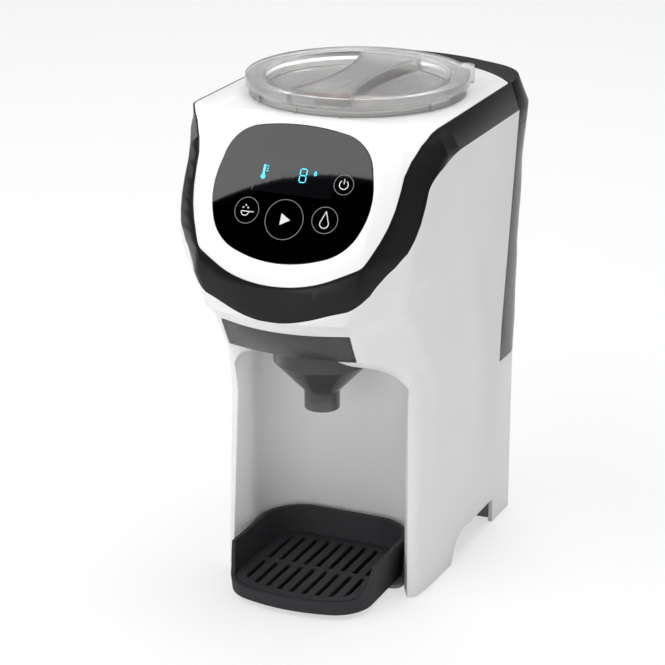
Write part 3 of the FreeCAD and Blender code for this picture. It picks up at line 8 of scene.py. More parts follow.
import bmesh
import bpy
from mathutils import Matrix, Vector
from mathutils.bvhtree import BVHTree


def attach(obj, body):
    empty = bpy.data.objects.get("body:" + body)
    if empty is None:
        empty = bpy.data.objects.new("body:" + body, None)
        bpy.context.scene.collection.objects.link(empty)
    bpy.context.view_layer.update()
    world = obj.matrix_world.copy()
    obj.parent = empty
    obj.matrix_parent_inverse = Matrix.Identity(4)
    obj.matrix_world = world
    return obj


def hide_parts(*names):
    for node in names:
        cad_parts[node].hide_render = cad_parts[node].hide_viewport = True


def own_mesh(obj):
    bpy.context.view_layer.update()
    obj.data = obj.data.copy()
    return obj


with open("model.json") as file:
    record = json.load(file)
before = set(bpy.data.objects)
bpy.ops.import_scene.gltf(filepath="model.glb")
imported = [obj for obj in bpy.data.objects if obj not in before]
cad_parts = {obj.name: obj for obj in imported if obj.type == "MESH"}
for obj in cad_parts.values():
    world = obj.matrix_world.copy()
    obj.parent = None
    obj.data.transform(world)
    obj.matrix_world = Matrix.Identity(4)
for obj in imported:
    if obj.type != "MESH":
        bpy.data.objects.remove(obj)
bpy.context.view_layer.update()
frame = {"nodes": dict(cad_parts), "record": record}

log = logging.getLogger("formula_maker")
Colour = tuple[float, float, float]
Point = tuple[float, float]
Corner = tuple[float, float, float]
Outline = list[Point]
MM = 0.001
WHITE = (1.0, 1.0, 1.0, 1.0)


# ---------------------------------------------------------------- shader maths
class Wire:
    """A shader value; Python's operators on it add the Math nodes that compute them."""

    def __init__(self, shader: "Shader", socket: bpy.types.NodeSocket) -> None:
        """Keep the socket and the shader that it belongs to."""
        self.shader = shader
        self.socket = socket

    def _math(self, operation: str, first: "Wire | float", second: "Wire | float") -> "Wire":
        """Add one Math node.

        Args:
            operation: The node's operation.
            first: Its first value.
            second: Its second value.

        Returns:
            The node's result.
        """
        return self.shader.node("ShaderNodeMath", {"operation": operation}, {0: first, 1: second})

    def __add__(self, other: "Wire | float") -> "Wire":
        """Add."""
        return self._math("ADD", self, other)

    __radd__ = __add__

    def __sub__(self, other: "Wire | float") -> "Wire":
        """Subtract."""
        return self._math("SUBTRACT", self, other)

    def __rsub__(self, other: "Wire | float") -> "Wire":
        """Subtract from a number."""
        return self._math("SUBTRACT", other, self)

    def __mul__(self, other: "Wire | float") -> "Wire":
        """Multiply."""
        return self._math("MULTIPLY", self, other)

    __rmul__ = __mul__

    def __gt__(self, other: "Wire | float") -> "Wire":
        """Give 1 where this is greater."""
        return self._math("GREATER_THAN", self, other)


class Shader:
    """The node tree of one material or of the world."""

    def __init__(self, owner: bpy.types.Material | bpy.types.World) -> None:
        """Empty the owner's tree.

        Args:
            owner: The material or world whose tree it is.
        """
        owner.use_nodes = True
        self.tree = owner.node_tree
        self.tree.nodes.clear()

    def node(self, kind: str, settings: dict | None = None, sockets: dict | None = None,
             output: int | str = 0) -> Wire:
        """Add a node.

        Args:
            kind: The node's type.
            settings: Properties that are set before the sockets; "stops" fills a colour ramp.
            sockets: Values or wires for the inputs, by index or name.
            output: Which output to hand back.

        Returns:
            The chosen output.
        """
        item = self.tree.nodes.new(kind)
        for name, value in (settings or {}).items():
            if name == "stops":
                ramp = item.color_ramp
                for stop, (place, shade) in zip((ramp.elements[0], ramp.elements[1]), value):
                    stop.position = place
                    stop.color = (*shade, 1.0)
            else:
                setattr(item, name, value)
        for name, value in (sockets or {}).items():
            if isinstance(value, Wire):
                self.tree.links.new(value.socket, item.inputs[name])
            else:
                item.inputs[name].default_value = value
        return Wire(self, item.outputs[output])

    def place(self) -> Wire:
        """Give the point in the object's own space, in metres."""
        return self.node("ShaderNodeTexCoord", output="Object")

    def ray(self, kind: str) -> Wire:
        """Give 1 for rays of one kind."""
        return self.node("ShaderNodeLightPath", output=kind)

    def noise(self, size: float, detail: float = 2.0, stretch: Colour = (1.0, 1.0, 1.0)) -> Wire:
        """Add a noise.

        Args:
            size: The size of its spots, in metres.
            detail: How many finer layers it has.
            stretch: How much finer it is along each axis.

        Returns:
            A value of about 0.5.
        """
        point = self.node("ShaderNodeMapping", None, {"Vector": self.place(), "Scale": stretch})
        return self.node("ShaderNodeTexNoise", None,
                         {"Vector": point, "Scale": 1.0 / size, "Detail": detail})

    def bump(self, height: Wire, depth: float) -> Wire:
        """Turn a height into a normal; depth is in metres."""
        return self.node("ShaderNodeBump", None,
                         {"Strength": 1.0, "Distance": depth, "Height": height})

    def blend(self, share: Wire, low: Colour, high: Colour) -> Wire:
        """Mix two colours by a share."""
        stops = ((0.0, low), (1.0, high))
        return self.node("ShaderNodeValToRGB", {"stops": stops}, {"Fac": share})

    def finish(self, surface: Wire, output: str = "ShaderNodeOutputMaterial") -> None:
        """Connect the surface to the output."""
        end = self.tree.nodes.new(output)
        self.tree.links.new(surface.socket, end.inputs["Surface"])


# ---------------------------------------------------------------- finishes
class Grain(Enum):
    """How the surface of a mould or a tool was worked."""

    POLISHED = "polished"
    SPARK = "spark eroded"
    BRUSHED = "brushed"


@dataclass(frozen=True)
class Finish:
    """A surface finish."""

    name: str
    colour: Colour
    rough: float = 0.4
    grain: Grain = Grain.SPARK
    grain_size: float = 0.35 * MM
    relief: float = 0.012 * MM
    uneven: float = 0.06
    tint_change: float = 0.02
    coat: float = 0.0
    metal: float = 0.0
    shine: float = 0.5
    streak_size: float = 11.0 * MM
    tint_size: float = 30.0 * MM
    brush_stretch: Colour = (1.0, 1.0, 0.02)

    def extras(self, shader: Shader) -> dict:
        """Give further sockets of the surface; plain plastics have none."""
        return {}

    def height(self, shader: Shader) -> Wire:
        """Give the relief of the grain.

        Args:
            shader: The material's nodes.

        Returns:
            The height.
        """
        if self.grain is Grain.BRUSHED:
            return shader.noise(self.grain_size, 2.0, self.brush_stretch)
        return shader.noise(self.grain_size, 3.0)

    def colours(self, shader: Shader) -> Wire:
        """Give the colour, a little uneven over the surface.

        Args:
            shader: The material's nodes.

        Returns:
            The colour.
        """
        low = tuple(part * (1.0 - self.tint_change) for part in self.colour)
        high = tuple(min(part * (1.0 + self.tint_change), 1.0) for part in self.colour)
        return shader.blend(shader.noise(self.tint_size), low, high)

    def material(self) -> bpy.types.Material:
        """Make the material of this finish, or find it where it was made before.

        Returns:
            The material.
        """
        known = bpy.data.materials.get(self.name)
        if known:
            return known
        material = bpy.data.materials.new(self.name)
        shader = Shader(material)
        streak = shader.noise(self.streak_size, 4.0)
        sockets = {
            "Base Color": self.colours(shader),
            "Roughness": self.rough + (streak - 0.5) * self.uneven,
            "Metallic": self.metal,
            "Coat Weight": self.coat,
            "Specular IOR Level": self.shine,
            **self.extras(shader),
        }
        if self.relief:
            sockets["Normal"] = shader.bump(self.height(shader), self.relief)
        shader.finish(shader.node("ShaderNodeBsdfPrincipled", None, sockets))
        return material


@dataclass(frozen=True)
class Clear(Finish):
    """A clear or smoked plastic."""

    clear: float = 1.0
    ior: float = 1.3

    def extras(self, shader: Shader) -> dict:
        """Give the transmission sockets."""
        return {"Transmission Weight": self.clear, "IOR": self.ior}


@dataclass(frozen=True)
class Lit(Finish):
    """A light that shines through a window."""

    glow: float = 1.0

    def extras(self, shader: Shader) -> dict:
        """Give the emission sockets."""
        return {"Emission Color": (*self.colour, 1.0), "Emission Strength": self.glow}


@dataclass(frozen=True)
class Board(Finish):
    """A circuit board: solder mask with lighter tracks."""

    track: Colour = (0.10, 0.36, 0.17)
    track_wide: float = 0.06
    mesh_size: float = 5.0 * MM

    def colours(self, shader: Shader) -> Wire:
        """Give the mask with its tracks.

        Args:
            shader: The material's nodes.

        Returns:
            The colour.
        """
        cells = shader.node("ShaderNodeTexVoronoi", {"feature": "DISTANCE_TO_EDGE"},
                            {"Vector": shader.place(), "Scale": 1.0 / self.mesh_size})
        return shader.blend(cells > self.track_wide, self.track, self.colour)


class Stock:
    """The finishes that the machine's pieces are made in."""

    shell = Finish("shell_plastic", (0.80, 0.80, 0.80), 0.40, uneven=0.05)
    cover = Finish("cover_plastic", (0.90, 0.90, 0.90), 0.26, relief=0.005 * MM, coat=0.1)
    trim = Finish("trim_plastic", (0.009, 0.009, 0.0095), 0.30, relief=0.006 * MM,
                  tint_change=0.2, shine=0.22)
    glass = Finish("panel_acrylic", (0.0012, 0.0012, 0.0013), 0.02, Grain.POLISHED,
                   relief=0.0, uneven=0.004)
    lid = Clear("lid_clear", (0.90, 0.90, 0.895), 0.17, relief=0.004 * MM, clear=0.82)
    container = Clear("container_clear", (0.94, 0.93, 0.92), 0.12, relief=0.004 * MM, clear=0.82)
    tank = Clear("tank_smoke", (0.22, 0.225, 0.23), 0.22, Grain.POLISHED, relief=0.004 * MM,
                 clear=0.8, ior=1.24)
    funnel = Clear("funnel_smoke", (0.16, 0.16, 0.165), 0.22, Grain.POLISHED, relief=0.004 * MM,
                   clear=0.7, ior=1.4)
    tray = Finish("tray_plastic", (0.006, 0.006, 0.007), 0.36, relief=0.02 * MM,
                  tint_change=0.2, shine=0.22)
    grey = Finish("grey_plastic", (0.30, 0.31, 0.32), 0.45)
    acetal = Finish("white_acetal", (0.85, 0.85, 0.82), 0.32, relief=0.004 * MM)
    coral = Finish("coral_plastic", (0.84, 0.26, 0.20), 0.35, relief=0.006 * MM)
    silicone = Finish("silicone", (0.72, 0.72, 0.72), 0.55, relief=0.01 * MM)
    rubber = Finish("foot_rubber", (0.02, 0.02, 0.02), 0.75, relief=0.03 * MM)
    steel = Finish("stainless_steel", (0.60, 0.60, 0.61), 0.28, Grain.BRUSHED, 0.3 * MM,
                   0.01 * MM, metal=1.0)
    cast = Finish("cast_aluminium", (0.62, 0.63, 0.64), 0.5, grain_size=0.8 * MM,
                  relief=0.05 * MM, metal=1.0)
    board = Board("circuit_board", (0.02, 0.16, 0.07), 0.3)
    film = Finish("touch_film", (0.03, 0.03, 0.03), 0.4)
    hose = Clear("clear_hose", (0.86, 0.86, 0.84), 0.3, clear=0.6)
    mark = Finish("tank_mark", (0.42, 0.42, 0.43), 0.4, relief=0.0)
    ink = Finish("panel_ink", (0.72, 0.73, 0.74), 0.45, relief=0.0)
    faint_ink = Finish("panel_line_ink", (0.20, 0.205, 0.21), 0.45, relief=0.0)
    glow = Lit("display_glow", (0.05, 0.62, 0.85), 0.4, relief=0.0, glow=1.2)
    window = Finish("display_window", (0.004, 0.004, 0.005), 0.02, Grain.POLISHED,
                    relief=0.0, uneven=0.004)


# ---------------------------------------------------------------- pieces
def new_object(name: str, data: bpy.types.ID) -> bpy.types.Object:
    """Put a mesh, a lamp or a camera into the scene.

    Args:
        name: The object's name.
        data: What it shows.

    Returns:
        The object.
    """
    item = bpy.data.objects.new(name, data)
    bpy.context.scene.collection.objects.link(item)
    return item


def add_piece(name: str, mesh: bpy.types.Mesh, body: str, finish: Finish,
              stands_for: Sequence[str] = ()) -> bpy.types.Object:
    """Put a mesh into the scene as a piece of the machine.

    Args:
        name: The piece's name.
        mesh: Its mesh, in the frame's own place.
        body: The body that it rides on.
        finish: Its finish.
        stands_for: The solids that it replaces.

    Returns:
        The new object.
    """
    piece = new_object(name, mesh)
    mesh.materials.clear()
    mesh.materials.append(finish.material())
    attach(piece, body)
    if stands_for:
        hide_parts(*stands_for)
    log.info("%s: %d faces on %s", name, len(mesh.polygons), body)
    return piece


def smooth(mesh: bpy.types.Mesh, angle: float = 32.0) -> None:
    """Shade a mesh smooth, apart from edges sharper than an angle in degrees."""
    mesh.shade_smooth()
    mesh.set_sharp_from_angle(angle=math.radians(angle))


def body_of(node: str) -> str:
    """Return the body that a solid belongs to."""
    bodies = frame["record"]["behaviour"]["bodies"]
    return next(body for body, nodes in bodies.items() if node in nodes)


def dress(node: str, finish: Finish) -> None:
    """Give a solid, whose shape stays, its finish.

    Args:
        node: The solid.
        finish: Its finish.
    """
    solid = frame["nodes"][node]
    for slot in solid.material_slots:
        slot.material = finish.material()
    smooth(solid.data)
    log.info("%s: dressed in %s", node, finish.name)


@dataclass(frozen=True)
class Mould:
    """How a mould rounds the sharp edges of what comes out of it; angles are in degrees."""

    weld: float = 0.002 * MM
    flat: float = 0.6
    sharp: float = 42.0
    shading: float = 44.0
    steps: int = 3

    def soften(self, node: str, finish: Finish, radius: float) -> bpy.types.Object:
        """Replace a solid by a copy whose sharp edges are rounded.

        Args:
            node: The solid.
            finish: Its finish.
            radius: The radius of the edges, in metres.

        Returns:
            The piece that stands for the solid.
        """
        mesh = frame["nodes"][node].data.copy()
        work = bmesh.new()
        work.from_mesh(mesh)
        bmesh.ops.remove_doubles(work, verts=work.verts, dist=self.weld)
        bmesh.ops.dissolve_limit(work, angle_limit=math.radians(self.flat), verts=work.verts,
                                 edges=work.edges, delimit={"NORMAL"})
        work.to_mesh(mesh)
        work.free()
        draft = new_object("draft", mesh)
        rounding = draft.modifiers.new("rounding", "BEVEL")
        rounding.width = radius
        rounding.segments = self.steps
        rounding.limit_method = "ANGLE"
        rounding.angle_limit = math.radians(self.sharp)
        rounding.use_clamp_overlap = True
        rounding.miter_outer = "MITER_ARC"
        graph = bpy.context.evaluated_depsgraph_get()
        final = bpy.data.meshes.new_from_object(draft.evaluated_get(graph))
        bpy.data.objects.remove(draft)
        smooth(final, self.shading)
        return add_piece(f"{node}_shape", final, body_of(node), finish, [node])


MOULD = Mould()


def bridge(work: bmesh.types.BMesh, rings: Sequence[Sequence[bmesh.types.BMVert]]) -> None:
    """Join each closed ring of points to the next with faces.

    Args:
        work: The mesh that is being built.
        rings: The rings, all with as many points.
    """
    for first, second in zip(rings, rings[1:]):
        count = len(first)
        for index in range(count):
            after = (index + 1) % count
            work.faces.new((first[index], first[after], second[after], second[index]))


def finished_mesh(work: bmesh.types.BMesh, name: str) -> bpy.types.Mesh:
    """Turn the faces outwards and keep them as a mesh.

    Args:
        work: The mesh that was built.
        name: Its name.

    Returns:
        The mesh.
    """
    bmesh.ops.recalc_face_normals(work, faces=work.faces)
    mesh = bpy.data.meshes.new(name)
    work.to_mesh(mesh)
    work.free()
    return mesh


# ---------------------------------------------------------------- lines on the face
def rounded(corners: Sequence[Corner], steps: int = 24) -> Outline:
    """Return a closed line whose corners are arcs that meet its sides smoothly.

    Args:
        corners: Across, down and radius of each corner.
        steps: How many straight parts each arc has.

    Returns:
        The points of the line.
    """
    line = []
    for index, (x, down, radius) in enumerate(corners):
        here = Vector((x, down))
        come = (Vector(corners[index - 1][:2]) - here).normalized()
        leave = (Vector(corners[(index + 1) % len(corners)][:2]) - here).normalized()
        half = come.angle(leave) / 2
        middle = here + (come + leave).normalized() * (radius / math.sin(half))
        first = here + come * (radius / math.tan(half)) - middle
        last = here + leave * (radius / math.tan(half)) - middle
        for step in range(steps + 1):
            point = middle + first.slerp(last, step / steps).normalized() * radius
            line.append((point.x, point.y))
    return line


def span(line: Sequence[Point], x: float) -> Point:
    """Find where a closed line crosses one place across.

    Args:
        line: The line.
        x: The place.

    Returns:
        Its upper and its lower crossing.
    """
    levels = []
    for (first, low), (second, high) in zip(line, [*line[1:], line[0]]):
        if first != second and min(first, second) <= x <= max(first, second):
            levels.append(low + (high - low) * (x - first) / (second - first))
    return min(levels), max(levels)


def inset(loop: Sequence[Point], inwards: float) -> Outline:
    """Move a closed line inwards.

    Args:
        loop: The line, which goes over the top to the right and back below.
        inwards: How far it moves.

    Returns:
        The moved line.
    """
    moved = []
    count = len(loop)
    for index, (x, down) in enumerate(loop):
        before, after = loop[index - 1], loop[(index + 1) % count]
        along = Vector((after[0] - before[0], after[1] - before[1])).normalized()
        moved.append((x - along.y * inwards, down + along.x * inwards))
    return moved


def ring(centre: Point, radius: float, width: float, start: float = 0.0, sweep: float = 360.0,
         steps: int = 64) -> list[Outline]:
    """Return a ring, or a part of one, as short straight plates.

    Args:
        centre: Its centre, across and down.
        radius: The radius of its middle line.
        width: The width of the line.
        start: Where it starts, in degrees, from straight up.
        sweep: How far it goes round.
        steps: How many plates it has.

    Returns:
        The plates' outlines.
    """
    plates = []
    for index in range(steps):
        turns = [math.radians(start + sweep * (index + step) / steps) for step in (0, 1)]
        inner, outer = (
            [(centre[0] + (radius + side) * math.sin(turn),
              centre[1] - (radius + side) * math.cos(turn)) for turn in turns]
            for side in (-width / 2, width / 2))
        plates.append([inner[0], inner[1], outer[1], outer[0]])
    return plates


def disc(centre: Point, radius: float, steps: int) -> Outline:
    """Return the outline of a disc."""
    return [(centre[0] + radius * math.sin(math.tau * index / steps),
             centre[1] - radius * math.cos(math.tau * index / steps)) for index in range(steps)]


def bar(start: Point, end: Point, width: float) -> Outline:
    """Return a straight line as a plate.

    Args:
        start: Where it starts.
        end: Where it ends.
        width: The width of the line.

    Returns:
        The plate's outline.
    """
    along = Vector((end[0] - start[0], end[1] - start[1])).normalized()
    side = Vector((-along.y, along.x)) * (width / 2)
    return [(start[0] + side.x, start[1] + side.y), (start[0] - side.x, start[1] - side.y),
            (end[0] - side.x, end[1] - side.y), (end[0] + side.x, end[1] + side.y)]


@dataclass(frozen=True)
class Face:
    """The sloping face, as a place to put things: across, and down from its fold.

    A lens has a column every `column_turn` degrees of a half circle, and its columns reach
    `column_reach` of the way to its ends. Its rim is given in radii, inwards and above the face.
    """

    fold: Vector = Vector((0.0, -71.0 * MM, 289.0 * MM))
    slope: float = 61.0
    bend: float = 325.0 * MM
    column_turn: int = 2
    column_reach: float = 0.9999
    rim: tuple[Point, ...] = ((0.0, -1.0), (0.3, -0.3), (1.0, 0.0), (1.6, 0.0))
    lens_shading: float = 75.0

    def at(self, across: float, down: float, lift: float = 0.0) -> Vector:
        """Find a point over the face.

        Args:
            across: How far it lies to the right of the middle.
            down: How far it lies below the fold, along the face.
            lift: How far it lies above the face's surface.

        Returns:
            The point in the frame.
        """
        turn = math.radians(self.slope)
        out = Vector((0.0, -math.sin(turn), math.cos(turn)))
        along = Vector((0.0, -math.cos(turn), -math.sin(turn)))
        angle = math.asin(across / self.bend)
        sink = self.bend - self.bend * math.cos(angle)
        side = Vector((1.0, 0.0, 0.0))
        leaned = out * math.cos(angle) + side * math.sin(angle)
        return self.fold + side * across + along * down - out * sink + leaned * lift

    def lens(self, name: str, line: Sequence[Point], thick: float, edge: float) -> bpy.types.Mesh:
        """Make a plate that lies flush in the face, its rim rounded.

        Args:
            name: The mesh's name.
            line: Its outline as a closed line of points.
            thick: How far it reaches below the face.
            edge: The radius of its rim.

        Returns:
            The mesh, all of it smooth.
        """
        reach = max(x for x, _ in line) * self.column_reach
        columns = [reach * math.sin(math.radians(turn))
                   for turn in range(-90, 91, self.column_turn)]
        spans = [span(line, x) for x in columns]
        loop = [(x, low) for x, (low, _) in zip(columns, spans)]
        loop += [(x, high) for x, (_, high) in reversed(list(zip(columns, spans)))]
        steps = [(0.0, -thick), *((inwards * edge, lift * edge) for inwards, lift in self.rim)]
        work = bmesh.new()
        rings = [[work.verts.new(self.at(x, down, lift)) for x, down in inset(loop, inwards)]
                 for inwards, lift in steps]
        bridge(work, rings)
        last = len(loop) - 1
        for end in (rings[0], rings[-1]):
            for index in range(len(columns) - 1):
                work.faces.new((end[index], end[index + 1],
                                end[last - 1 - index], end[last - index]))
        mesh = finished_mesh(work, name)
        smooth(mesh, self.lens_shading)
        return mesh

    def plates(self, name: str, outlines: Iterable[Outline], low: float,
               high: float) -> bpy.types.Mesh:
        """Make thin plates on the face.

        Args:
            name: The mesh's name.
            outlines: Closed outlines, each convex or cut into convex parts.
            low: Where the plates start above the face.
            high: Where they end.

        Returns:
            The mesh.
        """
        work = bmesh.new()
        for outline in outlines:
            rings = [[work.verts.new(self.at(x, down, lift)) for x, down in outline]
                     for lift in (low, high)]
            work.faces.new(rings[1])
            work.faces.new(list(reversed(rings[0])))
            bridge(work, rings)
        bmesh.ops.remove_doubles(work, verts=work.verts, dist=0.001 * MM)
        return finished_mesh(work, name)


# ---------------------------------------------------------------- sub-assemblies
@dataclass
class Casing:
    """The white shell, its black trim and the white cover of the deck and face."""

    shell_edge: float = 0.9 * MM
    trim_edge: float = 1.0 * MM
    cover_edge: float = 0.7 * MM

    def build(self) -> None:
        """Round the edges of the three outer mouldings."""
        MOULD.soften("housing", Stock.shell, self.shell_edge)
        MOULD.soften("trim_band", Stock.trim, self.trim_edge)
        MOULD.soften("top_cover", Stock.cover, self.cover_edge)


@dataclass(frozen=True)
class Key:
    """A touch key: where it lies on the face, and the radius of its ring."""

    name: str
    centre: Point
    radius: float


@dataclass
class TouchPanel:
    """The glossy panel with its printed keys and its lit display."""

    face: Face = field(default_factory=Face)
    lens_thick: float = 1.8 * MM
    lens_rim: float = 0.3 * MM
    line: float = 0.5 * MM
    thin: float = 0.35 * MM
    lift: float = 0.05 * MM
    start_key: Key = Key("start", (0.0, 56.7 * MM), 11.5 * MM)
    powder_key: Key = Key("powder", (-23.7 * MM, 54.0 * MM), 7.6 * MM)
    water_key: Key = Key("water", (23.7 * MM, 54.0 * MM), 7.6 * MM)
    power_key: Key = Key("power", (30.4 * MM, 33.0 * MM), 5.75 * MM)
    arrow_reach: float = 4.2 * MM
    drop_radius: float = 2.5 * MM
    drop_turn: float = 55.0
    scoop_reach: float = 3.0 * MM
    power_radius: float = 2.5 * MM
    power_gap: float = 35.0
    power_bar: Point = (-3.2 * MM, -0.4 * MM)
    figure_centre: Point = (6.0 * MM, 31.0 * MM)
    figure_half: float = 1.9 * MM
    gauge_centre: Point = (-18.0 * MM, 31.0 * MM)
    unit_centre: Point = (13.0 * MM, 29.0 * MM)
    unit_radius: float = 0.6 * MM
    outline: tuple[Corner, ...] = (
        (0.0, 0.3 * MM, 145.0 * MM), (41.3 * MM, 7.5 * MM, 23.0 * MM),
        (50.0 * MM, 43.5 * MM, 47.0 * MM), (39.6 * MM, 72.0 * MM, 30.0 * MM),
        (0.0, 85.7 * MM, 71.0 * MM), (-39.6 * MM, 72.0 * MM, 30.0 * MM),
        (-50.0 * MM, 43.5 * MM, 47.0 * MM), (-41.3 * MM, 7.5 * MM, 23.0 * MM))
    window_half: float = 24.5 * MM
    window_top: float = 22.0 * MM
    window_bottom: float = 42.5 * MM
    window_corner: float = 1.5 * MM
    window_rim: float = 0.01 * MM
    window_lift: float = 0.015 * MM

    def build(self) -> None:
        """Make the panel, its print and its display."""
        lens = self.face.lens("panel_lens_shape", rounded(self.outline), self.lens_thick,
                              self.lens_rim)
        add_piece("panel_lens_shape", lens, body_of("panel_lens"), Stock.glass,
                  ["panel_lens"])
        self.print_keys()
        self.light_display()
        dress("touch_film", Stock.film)
        dress("display_module", Stock.window)
        dress("control_board", Stock.board)

    def put(self, name: str, outlines: list[Outline], finish: Finish) -> None:
        """Lay plates on the panel."""
        mesh = self.face.plates(name, outlines, -self.lift, self.lift)
        add_piece(name, mesh, "case", finish)

    def print_keys(self) -> None:
        """Print the four keys' rings and their plain signs."""
        for key in (self.start_key, self.powder_key, self.water_key, self.power_key):
            plates = ring(key.centre, key.radius - self.thin / 2, self.thin)
            self.put(f"{key.name}_key_ring", plates, Stock.faint_ink)
        for name, sign in (("start_sign", [self.arrow(self.start_key.centre)]),
                           ("water_sign", self.drop(self.water_key.centre, self.drop_radius)),
                           ("powder_sign", self.scoop(self.powder_key.centre, self.scoop_reach)),
                           ("power_sign", self.power(self.power_key.centre))):
            self.put(name, sign, Stock.ink)

    def arrow(self, centre: Point) -> Outline:
        """Draw a triangle that points to the right.

        Args:
            centre: Where it lies.

        Returns:
            Its outline.
        """
        x, down = centre
        reach = self.arrow_reach
        return [(x - reach * 0.5, down - reach * 0.8), (x - reach * 0.5, down + reach * 0.8),
                (x + reach * 0.9, down)]

    def drop(self, centre: Point, radius: float) -> list[Outline]:
        """Draw a drop as a thin line round it.

        Args:
            centre: Where it lies.
            radius: The radius of its round end.

        Returns:
            The line's plates.
        """
        x, down = centre
        low = (x, down + 0.8 * radius)
        tip = (x, down - 2.0 * radius)
        plates = ring(low, radius, self.line, self.drop_turn, 360.0 - 2 * self.drop_turn, 36)
        turn = math.radians(self.drop_turn)
        for side in (-1, 1):
            shoulder = (x + side * radius * math.sin(turn), low[1] - radius * math.cos(turn))
            plates.append(bar(shoulder, tip, self.line))
        return plates

    def scoop(self, centre: Point, reach: float) -> list[Outline]:
        """Draw a scoop: a bowl with a handle and three grains over it.

        Args:
            centre: Where it lies.
            reach: What its parts are measured in.

        Returns:
            The plates.
        """
        x, down = centre
        level = down + 0.2 * reach
        plates = ring((x - 0.3 * reach, level), 0.8 * reach, self.line, 90.0, 180.0, 24)
        plates.append(bar((x - 1.1 * reach, level), (x + 1.5 * reach, level), self.line))
        for shift, rise in ((-0.8, 0.5), (-0.3, 0.95), (0.2, 0.5)):
            plates.append(disc((x + shift * reach, down - rise * reach), 0.16 * reach, 12))
        return plates

    def power(self, centre: Point) -> list[Outline]:
        """Draw an open ring with a bar in its gap.

        Args:
            centre: Where it lies.

        Returns:
            The plates.
        """
        x, down = centre
        top, bottom = self.power_bar
        plates = ring(centre, self.power_radius, self.line, self.power_gap,
                      360.0 - 2 * self.power_gap, 40)
        plates.append(bar((x, down + top), (x, down + bottom), self.line))
        return plates

    def light_display(self) -> None:
        """Light a figure, a thermometer and a small drop in the display."""
        half, top, bottom = self.window_half, self.window_top, self.window_bottom
        corners = [(x, down, self.window_corner)
                   for x, down in ((-half, top), (half, top), (half, bottom), (-half, bottom))]
        window = self.face.lens("display_window", rounded(corners, 6), self.lift, self.window_rim)
        for point in window.vertices:
            point.co += self.face.at(0.0, 0.0, self.window_lift) - self.face.at(0.0, 0.0)
        add_piece("display_window", window, "case", Stock.window)
        for name, sign in (("display_figure", self.figure(self.figure_centre, self.figure_half)),
                           ("display_gauge", self.thermometer(self.gauge_centre)),
                           ("display_unit", self.drop(self.unit_centre, self.unit_radius))):
            self.put(name, sign, Stock.glow)

    def figure(self, centre: Point, half: float) -> list[Outline]:
        """Draw an eight of seven bars.

        Args:
            centre: Where it lies.
            half: Half the distance between two of its bars.

        Returns:
            The bars.
        """
        x, down = centre
        plates = [bar((x - half * 0.8, down + level), (x + half * 0.8, down + level), self.line)
                  for level in (-2 * half, 0.0, 2 * half)]
        for side in (-1, 1):
            for level in (-1, 1):
                middle = down + level * half
                plates.append(bar((x + side * half, middle - 0.8 * half),
                                  (x + side * half, middle + 0.8 * half), self.line))
        return plates

    def thermometer(self, centre: Point) -> list[Outline]:
        """Draw a thermometer with three marks beside it.

        Args:
            centre: Where it lies.

        Returns:
            The plates.
        """
        x, down = centre
        plates = [disc((x, down + 2.9 * MM), 1.4 * MM, 32),
                  bar((x, down - 3.8 * MM), (x, down + 2.2 * MM), 1.3 * MM)]
        for level in (-3.2 * MM, -1.8 * MM, -0.4 * MM):
            plates.append(bar((x + 1.4 * MM, down + level), (x + 2.6 * MM, down + level), 0.4 * MM))
        return plates


@dataclass
class Hopper:
    """The powder container with its lid and what turns in it."""

    container_edge: float = 0.5 * MM
    lid_edge: float = 0.9 * MM
    stirrer_edge: float = 0.8 * MM
    wheel_edge: float = 0.5 * MM

    def build(self) -> None:
        """Round and dress the powder side."""
        MOULD.soften("powder_container", Stock.container, self.container_edge)
        MOULD.soften("powder_lid", Stock.lid, self.lid_edge)
        MOULD.soften("stirrer", Stock.coral, self.stirrer_edge)
        MOULD.soften("portion_wheel", Stock.coral, self.wheel_edge)
        dress("lid_seal", Stock.silicone)
        dress("outlet_guard", Stock.acetal)
        dress("hopper_seat", Stock.grey)
        dress("powder_chute", Stock.grey)


@dataclass
class Drive:
    """The gears and the motor that turn the portion wheel."""

    def build(self) -> None:
        """Dress the drive."""
        dress("drive_hub", Stock.acetal)
        dress("motor_pinion", Stock.acetal)
        dress("gear_bracket", Stock.grey)
        dress("powder_motor", Stock.steel)


@dataclass
class FunnelUnit:
    """The smoked funnel and what guides and senses it."""

    funnel_edge: float = 0.6 * MM

    def build(self) -> None:
        """Round and dress the funnel side."""
        MOULD.soften("funnel", Stock.funnel, self.funnel_edge)
        dress("funnel_guide", Stock.grey)
        dress("funnel_switch", Stock.trim)
        dress("switch_plunger", Stock.acetal)
        dress("water_nozzle", Stock.steel)


@dataclass
class DripTray:
    """The black tray and its slotted grate."""

    tray_edge: float = 0.8 * MM
    grate_edge: float = 0.4 * MM

    def build(self) -> None:
        """Round and dress the tray."""
        MOULD.soften("drip_tray", Stock.tray, self.tray_edge)
        MOULD.soften("drip_grate", Stock.tray, self.grate_edge)


